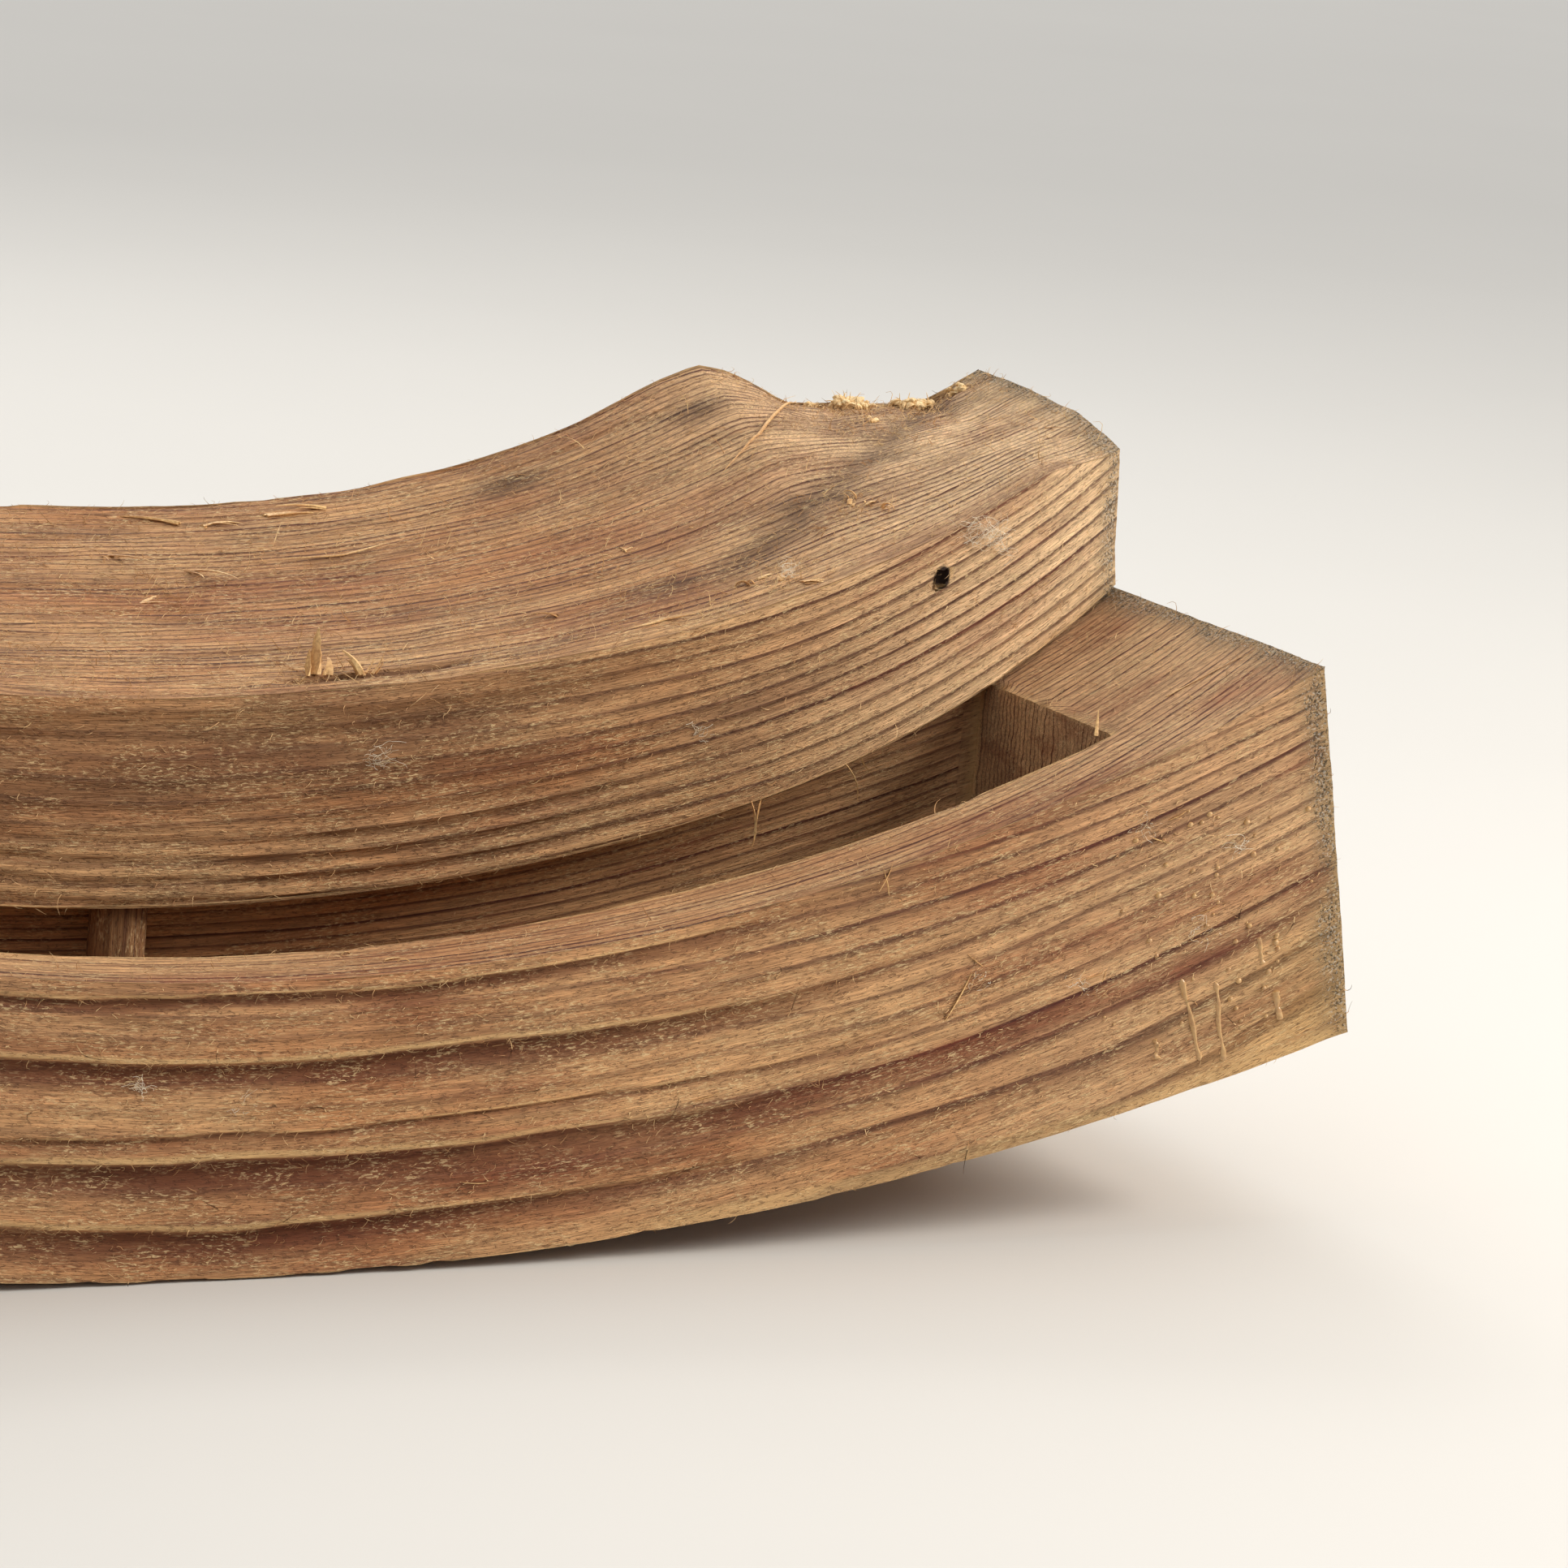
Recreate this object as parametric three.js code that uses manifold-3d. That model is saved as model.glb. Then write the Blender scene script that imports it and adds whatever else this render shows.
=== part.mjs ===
// A single-ox yoke: a slotted main beam, a hollowed seat beam bedded on top of it, the peg that
// props the seat across the strap slot, and the wedged treenails that hold the two beams together.
// Sizes are in millimetres. +X runs along the beams, +Y towards the rear and +Z up. The yoke stands
// on its belly with the seat upwards, centred over the origin.

import * as THREE from 'three';
import { mergeVertices } from 'three/addons/utils/BufferGeometryUtils.js';
import Module from 'manifold-3d';

const wasm = await Module();
wasm.setup();

// Whole yoke
const yokeLength = 620; // over the lower corners of the sawn ends
const yokeDepth = 184; // front face to rear face

// Main beam
const beamHeight = 74; // belly to bed at mid length
const bellyRadius = 950;
const bedRadius = 600; // sweep of the bed, the curved top that the seat beam lies on
const beamEndRake = 11; // degrees that its sawn ends lean in towards the top

// Strap slot, sunk in the bed behind a thin front lip
const lipThickness = 27;
const slotUndercut = 24; // how far the slot runs on under the seat beam
const slotDepth = 40;
const slotEndWood = 65; // solid wood from a lower end corner to the slot

// Seat beam
const seatSetback = 71; // from the front face of the yoke
const seatFrontHeight = 54; // above the bed at mid length
const creaseRadius = 630; // sweep of the edge between seat and front face
const seatRearHeight = 82; // above the bed at mid length
const seatDish = 3; // hollow of the seat from front to rear
const shoulderRise = 43; // shoulder tops above the middle of the rear rim
const shoulderLength = 113; // from a lower end corner to where the hollow starts
const rimSharpness = 2.9; // power of the rear rim's curve, 2 is a parabola
const frontTurnLength = 165; // end stretch over which the front face turns in
const frontTurnIn = 47; // how far it has turned in at the end
const seatEndRake = 4; // degrees, from the level of the bed's ends upwards
const topCornerRound = 7;
const cornerWearStart = 57; // lower end corner to where the seat's outer front corner starts to wear down
const cornerWearFull = 19; // lower end corner to where that wear is deepest
const cornerWearDepth = 10;
const cornerWearSharpness = 2.4; // higher keeps the wear closer to the front

// Notch that the horn rope has worn in each shoulder
const notchFromEnd = 65; // lower end corner to the middle of the notch
const notchWidth = 92;
const notchDepth = 12;
const notchFlatness = 2.6; // power of its cross-section: higher has a flatter floor
const notchRun = 75; // how far it reaches forward from the rear face

// Pegs
const pegDiameter = 15;
const pegSocket = 16; // how far each end of the centre peg is let in
const treenailDiameter = 20;
const treenailReach = 36; // blind length in the seat beam
const treenailSpacings = { inner: 220, outer: 470 }; // left to right, centre to centre
const wedgeLength = 26;
const wedgeButt = 3.6;
const wedgeTip = 1;

// Fits
const fitGap = 0.3; // between faces that touch on the real yoke
const socketFloorGap = 1; // glue space past the blind end of a peg

// Fineness of the facets
const beamFacets = 61; // odd, so the belly rests on the middle one
const seatFacets = 81;
const seatRows = 10;
const roundFacets = 24;

const halfLength = yokeLength / 2;
const frontY = -yokeDepth / 2;
const rearY = yokeDepth / 2;
const slotFrontY = frontY + lipThickness;
const seatFrontY = frontY + seatSetback;
const slotRearY = seatFrontY + slotUndercut;
const slotHalfLength = halfLength - slotEndWood;
const rimMiddle = beamHeight + seatRearHeight;
const shoulderZ = rimMiddle + shoulderRise;
const hollowHalfLength = halfLength - shoulderLength;
const overcut = 20; // how far a cutting solid runs past the wood it cuts

const clamp01 = (t) => THREE.MathUtils.clamp(t, 0, 1);
const sweep = (radius, x) => radius - Math.sqrt(radius * radius - x * x);
const bellyZ = (x) => sweep(bellyRadius, x);
const bedZ = (x) => beamHeight + sweep(bedRadius, x);
const slotFloorZ = (x) => beamHeight - slotDepth + sweep(bedRadius + slotDepth, x);
const creaseZ = (x) => beamHeight + seatFrontHeight + sweep(creaseRadius, x);

function rimZ(x) {
  const along = Math.abs(x) / hollowHalfLength;
  return Math.min(rimMiddle + shoulderRise * along ** rimSharpness, shoulderZ);
}

// The front face of the seat beam is straight, then turns in on an arc towards each end.
function seatFaceY(x) {
  const turnRadius = (frontTurnLength ** 2 + frontTurnIn ** 2) / (2 * frontTurnIn);
  const past = Math.max(0, Math.abs(x) - (halfLength - frontTurnLength));
  return seatFrontY + sweep(turnRadius, past);
}

function notchCut(x, y) {
  const across = (Math.abs(x) - (halfLength - notchFromEnd)) / (notchWidth / 2);
  const back = clamp01((y - (rearY - notchRun)) / notchRun);
  return notchDepth * Math.max(0, 1 - Math.abs(across) ** notchFlatness) * back * back;
}

function seatZ(x, y) {
  const back = clamp01((y - seatFaceY(x)) / (rearY - seatFaceY(x)));
  const straight = THREE.MathUtils.lerp(creaseZ(x), rimZ(x), back);
  const outer = THREE.MathUtils.smoothstep(Math.abs(x), halfLength - cornerWearStart, halfLength - cornerWearFull);
  const dish = seatDish * (1 - outer) * Math.sin(Math.PI * back);
  const wear = cornerWearDepth * outer * (1 - back) ** cornerWearSharpness;
  return straight - dish - wear - notchCut(x, y);
}

function toSolid(geometry) {
  const bare = geometry.index ? geometry.toNonIndexed() : geometry;
  bare.deleteAttribute('normal');
  bare.deleteAttribute('uv');
  const welded = mergeVertices(bare, 1e-4);
  return new wasm.Manifold(
    new wasm.Mesh({
      numProp: 3,
      vertProperties: Float32Array.from(welded.attributes.position.array),
      triVerts: Uint32Array.from(welded.index.array),
    }),
  );
}

function toGeometry(solid) {
  const mesh = solid.getMesh();
  const geometry = new THREE.BufferGeometry();
  geometry.setAttribute('position', new THREE.BufferAttribute(mesh.vertProperties, 3));
  geometry.setIndex(new THREE.BufferAttribute(mesh.triVerts, 1));
  geometry.computeVertexNormals();
  return geometry;
}

// A solid between two curves z(x), from xLow to xHigh and from yLow to yHigh.
function curvedSlab(lowZ, highZ, xLow, xHigh, yLow, yHigh) {
  const stations = Array.from(
    { length: beamFacets + 1 },
    (_, i) => xLow + ((xHigh - xLow) * i) / beamFacets,
  );
  const below = stations.map((x) => new THREE.Vector2(x, lowZ(x)));
  const above = stations.map((x) => new THREE.Vector2(x, highZ(x))).reverse();
  const slab = new THREE.ExtrudeGeometry(new THREE.Shape([...below, ...above]), {
    depth: yHigh - yLow,
    bevelEnabled: false,
  });
  slab.rotateX(Math.PI / 2);
  slab.translate(0, yHigh, 0);
  return toSolid(slab);
}

// Everything between the raked end cuts, with the top corners rounded off.
function endCuts() {
  const slope = (degrees) => Math.tan(THREE.MathUtils.degToRad(degrees));
  const beamEndX = (z) => halfLength - (z - bellyZ(halfLength)) * slope(beamEndRake);
  const kneeZ = bedZ(halfLength);
  const seatEndX = (z) => beamEndX(kneeZ) - (z - kneeZ) * slope(seatEndRake);
  const topX = seatEndX(shoulderZ);
  const roundZ = shoulderZ - topCornerRound;
  const outline = new THREE.Shape();
  outline.moveTo(-beamEndX(-overcut), -overcut);
  outline.lineTo(beamEndX(-overcut), -overcut);
  outline.lineTo(beamEndX(kneeZ), kneeZ);
  outline.lineTo(seatEndX(roundZ), roundZ);
  outline.quadraticCurveTo(topX, shoulderZ, topX - topCornerRound, shoulderZ);
  outline.lineTo(topCornerRound - topX, shoulderZ);
  outline.quadraticCurveTo(-topX, shoulderZ, -seatEndX(roundZ), roundZ);
  outline.lineTo(-beamEndX(kneeZ), kneeZ);
  const block = new THREE.ExtrudeGeometry(outline, {
    depth: yokeDepth + 2 * overcut,
    bevelEnabled: false,
    curveSegments: 6,
  });
  block.rotateX(Math.PI / 2);
  block.translate(0, rearY + overcut, 0);
  return toSolid(block);
}

function uprightRod(diameter, x, y, zLow, zHigh) {
  const rod = new THREE.CylinderGeometry(diameter / 2, diameter / 2, zHigh - zLow, roundFacets);
  rod.rotateX(Math.PI / 2);
  rod.translate(x, y, (zLow + zHigh) / 2);
  return toSolid(rod);
}

// Each treenail stands in the middle of the wood behind the strap slot.
const treenailY = (slotRearY + rearY) / 2;
const treenails = [];
for (const [side, sign] of Object.entries({ left: -1, right: 1 })) {
  for (const [place, spacing] of Object.entries(treenailSpacings)) {
    const x = (sign * spacing) / 2;
    treenails.push({ name: `${side}_${place}`, x, top: bedZ(x) + treenailReach });
  }
}

// The centre peg stands under the overhang of the seat beam, between slot wall and seat front.
const pegY = (seatFrontY + slotRearY) / 2;
const pegBottom = slotFloorZ(0) - pegSocket;
const pegTop = bedZ(0) + pegSocket;

function pegHoles() {
  const bores = treenails.map(({ x, top }) =>
    uprightRod(treenailDiameter + 2 * fitGap, x, treenailY, -overcut, top + socketFloorGap),
  );
  const socket = uprightRod(
    pegDiameter + 2 * fitGap,
    0,
    pegY,
    pegBottom - socketFloorGap,
    pegTop + socketFloorGap,
  );
  return wasm.Manifold.union([...bores, socket]);
}

function mainBeam() {
  const blank = curvedSlab(bellyZ, bedZ, -halfLength, halfLength, frontY, rearY);
  const slot = curvedSlab(
    slotFloorZ,
    (x) => bedZ(x) + overcut,
    -slotHalfLength,
    slotHalfLength,
    slotFrontY,
    slotRearY,
  );
  return blank.intersect(endCuts()).subtract(slot).subtract(pegHoles());
}

function seatBeam() {
  const block = new THREE.BoxGeometry(1, 1, 1, seatFacets, seatRows, 1);
  const corners = block.attributes.position;
  for (let i = 0; i < corners.count; i += 1) {
    const x = corners.getX(i) * yokeLength;
    const y = THREE.MathUtils.lerp(seatFaceY(x), rearY, corners.getY(i) + 0.5);
    const z = corners.getZ(i) > 0 ? seatZ(x, y) : bedZ(x) + fitGap;
    corners.setXYZ(i, x, y, z);
  }
  return toSolid(block).intersect(endCuts()).subtract(pegHoles());
}

// A wedge lies across the grain of the beam, so that it spreads the treenail along the grain.
function wedgeBlank({ x }, gap) {
  const half = (width) => width / 2 + gap;
  const butt = -overcut;
  const tip = bellyZ(x) + wedgeLength + gap;
  const spread = (wedgeButt - wedgeTip) / wedgeLength;
  const buttWidth = wedgeTip + spread * (tip - butt);
  const outline = new THREE.Shape([
    new THREE.Vector2(x - half(buttWidth), butt),
    new THREE.Vector2(x + half(buttWidth), butt),
    new THREE.Vector2(x + half(wedgeTip), tip),
    new THREE.Vector2(x - half(wedgeTip), tip),
  ]);
  const prism = new THREE.ExtrudeGeometry(outline, {
    depth: 2 * treenailDiameter,
    bevelEnabled: false,
  });
  prism.rotateX(Math.PI / 2);
  prism.translate(0, treenailY + treenailDiameter, 0);
  return toSolid(prism);
}

// Treenails and wedges are sawn off flush with the belly.
function aboveBelly() {
  return curvedSlab(bellyZ, () => shoulderZ, -halfLength, halfLength, frontY, rearY);
}

function treenail(place) {
  const rod = uprightRod(treenailDiameter, place.x, treenailY, -overcut, place.top);
  return rod.subtract(wedgeBlank(place, fitGap)).intersect(aboveBelly());
}

function wedge(place) {
  const rod = uprightRod(treenailDiameter, place.x, treenailY, -overcut, place.top);
  return rod.intersect(wedgeBlank(place, 0)).intersect(aboveBelly());
}

function centrePeg() {
  return uprightRod(pegDiameter, 0, pegY, pegBottom, pegTop);
}

const woods = {
  mainBeam: { color: '#b08457', roughness: 0.85 },
  seatBeam: { color: '#c0925f', roughness: 0.85 },
  peg: { color: '#a1774b', roughness: 0.8 },
  treenail: { color: '#8a6740', roughness: 0.75 },
  wedge: { color: '#6d4f31', roughness: 0.8 },
};

const yoke = new THREE.Group();

function add(name, solid, wood) {
  const material = new THREE.MeshStandardMaterial({ ...wood, metalness: 0 });
  const mesh = new THREE.Mesh(toGeometry(solid), material);
  mesh.name = name;
  yoke.add(mesh);
}

add('main_beam', mainBeam(), woods.mainBeam);
add('seat_beam', seatBeam(), woods.seatBeam);
add('centre_peg', centrePeg(), woods.peg);
for (const place of treenails) {
  add(`treenail_${place.name}`, treenail(place), woods.treenail);
  add(`wedge_${place.name}`, wedge(place), woods.wedge);
}

export default yoke;
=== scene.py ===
# A weathered single-ox yoke: two bent softwood beams, a peg in the strap slot and wedged treenails.
# Lengths in the dictionaries are millimetres unless a note says metres; every mesh is made in metres.
# X runs along the beams, Y from the slotted front face to the rear and Z up, with the belly on the floor.
import bpy
import bmesh
import math
import numpy as np
from mathutils import Matrix, Vector


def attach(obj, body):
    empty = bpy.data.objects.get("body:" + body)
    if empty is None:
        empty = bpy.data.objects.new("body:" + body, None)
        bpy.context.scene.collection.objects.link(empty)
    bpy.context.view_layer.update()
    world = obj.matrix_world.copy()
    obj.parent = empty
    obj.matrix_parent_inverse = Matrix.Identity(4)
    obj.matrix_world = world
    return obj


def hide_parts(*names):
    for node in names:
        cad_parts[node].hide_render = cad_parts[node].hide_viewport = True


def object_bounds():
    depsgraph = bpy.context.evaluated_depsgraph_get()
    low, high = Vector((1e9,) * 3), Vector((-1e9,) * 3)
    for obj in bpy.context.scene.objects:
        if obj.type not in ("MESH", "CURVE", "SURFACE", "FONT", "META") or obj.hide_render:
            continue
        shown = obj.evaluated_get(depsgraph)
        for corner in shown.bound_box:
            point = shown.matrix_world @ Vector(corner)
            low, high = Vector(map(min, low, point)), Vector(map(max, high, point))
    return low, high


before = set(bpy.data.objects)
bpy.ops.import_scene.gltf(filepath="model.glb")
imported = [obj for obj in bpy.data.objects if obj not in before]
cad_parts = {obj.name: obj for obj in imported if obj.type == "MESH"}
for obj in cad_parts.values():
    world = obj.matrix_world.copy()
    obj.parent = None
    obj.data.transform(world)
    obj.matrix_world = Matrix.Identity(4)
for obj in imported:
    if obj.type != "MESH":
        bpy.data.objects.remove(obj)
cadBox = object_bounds()
mm = 0.001


# small helpers

def sweep(radius, x):
    return radius - np.sqrt(radius * radius - x * x)


def smooth(low, high, value):
    t = np.clip((value - low) / (high - low), 0, 1)
    return t * t * (3 - 2 * t)


def fade(low, high, value):
    return 1 - smooth(low, high, value)


def lerp(a, b, t):
    return a + (b - a) * t


def latticeValue(ix, iy, iz, seed):
    n = (ix * 374761393 + iy * 668265263 + iz * 1442695041 + seed * 1274126177) & 0xFFFFFFFF
    n = ((n ^ (n >> 13)) * 1274126177) & 0xFFFFFFFF
    return ((n ^ (n >> 16)) & 0xFFFF) / 65535


def softNoise(x, y, z, seed=0):
    # smooth noise from -1 to 1 with a unit cell
    point = grid(x, y, z).astype(float)
    cell = np.floor(point).astype(np.int64)
    part = point - cell
    part = part * part * (3 - 2 * part)
    total = 0
    for dx in (0, 1):
        for dy in (0, 1):
            for dz in (0, 1):
                wx = part[..., 0] if dx else 1 - part[..., 0]
                wy = part[..., 1] if dy else 1 - part[..., 1]
                wz = part[..., 2] if dz else 1 - part[..., 2]
                value = latticeValue(cell[..., 0] + dx, cell[..., 1] + dy, cell[..., 2] + dz, seed)
                total = total + wx * wy * wz * value
    return total * 2 - 1


def stations(points, step):
    # evenly spaced values between the given breakpoints, which are all kept
    values = [points[0]]
    for a, b in zip(points, points[1:]):
        count = max(1, round(abs(b - a) / step))
        values += [a + (b - a) * i / count for i in range(1, count + 1)]
    return np.array(values)


def grid(x, y, z):
    return np.stack(np.broadcast_arrays(x, y, z), -1)


def weldPatches(patches):
    points = []
    quads = []
    start = 0
    for patch in patches:
        rows, columns = patch.shape[:2]
        ids = start + np.arange(rows * columns).reshape(rows, columns)
        corners = [ids[:-1, :-1], ids[1:, :-1], ids[1:, 1:], ids[:-1, 1:]]
        quads.append(np.stack(corners, -1).reshape(-1, 4))
        points.append(patch.reshape(-1, 3))
        start += rows * columns
    points = np.concatenate(points)
    quads = np.concatenate(quads)
    _, first, back = np.unique(np.round(points, 3), axis=0, return_index=True, return_inverse=True)
    return points[first], back.reshape(-1)[quads]


def meshFrom(name, points, faces):
    mesh = bpy.data.meshes.new(name)
    mesh.from_pydata((np.asarray(points) * mm).tolist(), [], [list(map(int, f)) for f in faces])
    work = bmesh.new()
    work.from_mesh(mesh)
    bmesh.ops.recalc_face_normals(work, faces=work.faces)
    work.to_mesh(mesh)
    work.free()
    mesh.update()
    return mesh


def addObject(name, data):
    piece = bpy.data.objects.new(name, data)
    bpy.context.scene.collection.objects.link(piece)
    return piece


def dropObject(piece):
    mesh = piece.data
    bpy.data.objects.remove(piece)
    bpy.data.meshes.remove(mesh)


def evaluatedMesh(piece):
    # a plain mesh of the piece with its modifiers worked out
    bpy.context.view_layer.update()
    return bpy.data.meshes.new_from_object(piece.evaluated_get(bpy.context.evaluated_depsgraph_get()))


def cutAway(mesh, cutters):
    # a new mesh: the first one without the cutter meshes
    body = addObject("cutBody", mesh)
    tools = []
    for i, cutter in enumerate(cutters):
        tool = addObject(f"cutTool{i}", cutter)
        change = body.modifiers.new(f"cut{i}", "BOOLEAN")
        change.operation = "DIFFERENCE"
        change.solver = "EXACT"
        change.object = tool
        tools.append(tool)
    result = evaluatedMesh(body)
    dropObject(body)
    for tool in tools:
        dropObject(tool)
    return result


def rodMesh(name, radius, x, y, low, high, sides=40, rows=2, shape=None):
    # an upright closed rod; shape(angle, height) changes the radius
    angles = np.linspace(0, 2 * math.pi, sides, endpoint=False)
    heights = np.linspace(low, high, rows)
    points = []
    for z in heights:
        r = radius * (shape(angles, z) if shape else np.ones_like(angles))
        points += list(zip(x + r * np.cos(angles), y + r * np.sin(angles), [z] * sides))
    points.append((x, y, low))
    points.append((x, y, high))
    faces = []
    for row in range(rows - 1):
        for i in range(sides):
            j = (i + 1) % sides
            faces.append((row * sides + i, row * sides + j, (row + 1) * sides + j, (row + 1) * sides + i))
    for i in range(sides):
        j = (i + 1) % sides
        faces.append((j, i, rows * sides))
        faces.append(((rows - 1) * sides + i, (rows - 1) * sides + j, rows * sides + 1))
    return meshFrom(name, points, faces)


def coordinates(mesh):
    flat = np.zeros(len(mesh.vertices) * 3, np.float32)
    mesh.vertices.foreach_get("co", flat)
    return flat.reshape(-1, 3).astype(float) / mm


def vertexNormals(mesh):
    flat = np.zeros(len(mesh.vertices) * 3, np.float32)
    mesh.vertex_normals.foreach_get("vector", flat)
    return flat.reshape(-1, 3).astype(float)


def moveVertices(mesh, points):
    mesh.vertices.foreach_set("co", (points * mm).astype(np.float32).ravel())
    mesh.update()


def storeFields(mesh, **fields):
    # one named vertex attribute for each number or vector field
    for name, values in fields.items():
        values = np.asarray(values, np.float32)
        kind, key = ("FLOAT_VECTOR", "vector") if values.ndim == 2 else ("FLOAT", "value")
        mesh.attributes.new(name, kind, "POINT").data.foreach_set(key, values.ravel())


boxMargin = 0.02  # how far inside the box the outermost points are kept


def keepInBox(mesh):
    # nothing stands outside the yoke's own box
    low, high = (np.array(corner) / mm for corner in cadBox)
    moveVertices(mesh, np.clip(coordinates(mesh), low + boxMargin, high - boxMargin))
    return mesh


def edgeCloseness(mesh, spread):
    # 1 on a sharp edge, falling off over a few neighbouring vertices
    corners = np.zeros(len(mesh.loops), np.int32)
    mesh.loops.foreach_get("vertex_index", corners)
    totals = np.zeros(len(mesh.polygons), np.int32)
    mesh.polygons.foreach_get("loop_total", totals)
    normals = np.zeros(len(mesh.polygons) * 3, np.float32)
    mesh.polygons.foreach_get("normal", normals)
    perCorner = np.repeat(normals.reshape(-1, 3), totals, axis=0)
    count = np.bincount(corners, minlength=len(mesh.vertices))
    summed = np.stack([np.bincount(corners, perCorner[:, k], len(mesh.vertices)) for k in range(3)], -1)
    bend = 1 - np.linalg.norm(summed, axis=1) / np.maximum(count, 1)
    close = np.clip(bend / 0.22, 0, 1)
    ends = np.zeros(len(mesh.edges) * 2, np.int32)
    mesh.edges.foreach_get("vertices", ends)
    a, b = ends.reshape(-1, 2).T
    degree = np.bincount(a, minlength=len(close)) + np.bincount(b, minlength=len(close))
    for _ in range(spread):
        near = np.bincount(a, close[b], len(close)) + np.bincount(b, close[a], len(close))
        close = np.maximum(close, 0.85 * near / np.maximum(degree, 1))
    return close


# shape of the yoke, as in the CAD

yoke = {"length": 620, "depth": 184, "endRake": 11, "seatRake": 4}
mainBeam = {
    "height": 74, "bellyRadius": 950, "bedRadius": 600,
    "lip": 27, "slotBack": 3, "slotDepth": 40, "slotHalf": 245,
    # mesh: steps along the beam and across its lip, slot and back; points up its faces and up the slot's
    # walls; the width of the strip kept at each end
    "stationStep": 4.0, "faceRows": 89, "lipStep": 1.3, "slotStep": 2.0, "backStep": 2.2, "slotRows": 21,
    "endStrip": 6, "inset": 0.35,
}
seatBeam = {
    "front": -21, "creaseHeight": 54, "creaseRadius": 630, "rimHeight": 82, "dish": 3,
    "rise": 43, "hollowHalf": 197, "rimPower": 2.9, "turnLength": 165, "turnIn": 47,
    # rope notch: where its inner slope, floor and outer slope start, and where the outer slope ends
    "notchInner": 183, "notchFloor": (225, 266), "notchOuter": 290, "notchDepth": 12, "innerWear": 2.6,
    "notchRun": 75, "topRound": 7, "cornerWear": 10, "cornerWearFrom": 253, "cornerWearTo": 291,
    # mesh: steps along the beam and in its end strips, and points up the faces and across the seat
    "stationStep": 4.0, "faceRows": 61, "topRows": 91, "endStrip": 14, "endStep": 1.4, "inset": 0.3,
}
pegs = {
    "centreDiameter": 15, "centreY": -9, "socket": 16,
    "treenailDiameter": 20, "treenailY": 47.5, "reach": 36, "at": (-235, -110, 110, 235),
    "gap": 0.3, "boreBeyond": 1, "bellyInset": 0.15, "wedgeLength": 26, "wedgeButt": 3.6, "wedgeTip": 1,
    "wedgeHalfWidth": 9.55,
}

halfLength = yoke["length"] / 2
halfDepth = yoke["depth"] / 2
rakeSlope = math.tan(math.radians(yoke["endRake"]))
seatSlope = math.tan(math.radians(yoke["seatRake"]))
slotFront = -halfDepth + mainBeam["lip"]


def bellyZ(x):
    return sweep(mainBeam["bellyRadius"], x)


def bedZ(x):
    return mainBeam["height"] + sweep(mainBeam["bedRadius"], x)


def slotFloorZ(x):
    depth = mainBeam["slotDepth"]
    return mainBeam["height"] - depth + sweep(mainBeam["bedRadius"] + depth, x)


def creaseZ(x):
    return mainBeam["height"] + seatBeam["creaseHeight"] + sweep(seatBeam["creaseRadius"], x)


def rimZ(x):
    low = mainBeam["height"] + seatBeam["rimHeight"]
    along = np.abs(x) / seatBeam["hollowHalf"]
    return np.minimum(low + seatBeam["rise"] * along ** seatBeam["rimPower"], low + seatBeam["rise"])


def seatFaceY(x):
    turn, inward = seatBeam["turnLength"], seatBeam["turnIn"]
    radius = (turn * turn + inward * inward) / (2 * inward)
    return seatBeam["front"] + sweep(radius, np.clip(np.abs(x) - (halfLength - turn), 0, turn))


def notchCut(x, y):
    # a rounded inner shoulder, a flat floor and a steeper outer slope
    depth, wear = seatBeam["notchDepth"], seatBeam["innerWear"]
    inner, (low, high), outer = seatBeam["notchInner"], seatBeam["notchFloor"], seatBeam["notchOuter"]
    side = np.abs(x)
    brow = wear * smooth(inner, inner + 16, side)
    fall = np.clip((side - inner - 14) / (low - inner - 14), 0, 1)
    inside = brow + (depth - wear) * fall ** 1.8
    outside = depth * np.clip((outer - side) / (outer - high), 0, 1)
    back = np.clip((y - (halfDepth - seatBeam["notchRun"])) / seatBeam["notchRun"], 0, 1)
    return np.minimum(inside, outside) * back * back


def seatZ(x, y):
    face = seatFaceY(x)
    back = np.clip((y - face) / (halfDepth - face), 0, 1)
    straight = lerp(creaseZ(x), rimZ(x), back)
    outer = smooth(seatBeam["cornerWearFrom"], seatBeam["cornerWearTo"], np.abs(x))
    dish = seatBeam["dish"] * (1 - outer) * np.sin(math.pi * back)
    wear = seatBeam["cornerWear"] * outer * (1 - back) ** 2.4
    return straight - dish - wear - notchCut(x, y)


bellyEndZ = float(bellyZ(halfLength))
kneeZ = float(bedZ(halfLength))
kneeX = halfLength - (kneeZ - bellyEndZ) * rakeSlope
shoulderZ = mainBeam["height"] + seatBeam["rimHeight"] + seatBeam["rise"]
topX = kneeX - (shoulderZ - kneeZ) * seatSlope


def bedCorner():
    x = halfLength
    for _ in range(20):
        x = halfLength - (float(bedZ(x)) - bellyEndZ) * rakeSlope
    return x


bedEndX = bedCorner()


def endX(z):
    beam = halfLength - (z - bellyEndZ) * rakeSlope
    seat = kneeX - (z - kneeZ) * seatSlope
    return np.where(z < kneeZ, beam, seat)


# main beam mesh

def beamPoint(u, v, y):
    # u from -1 to 1 along the beam, v from belly to bed
    x = u * lerp(halfLength, bedEndX, v)
    z = lerp(bellyZ(x), bedZ(x), v)
    return grid(x, y, z)


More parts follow.
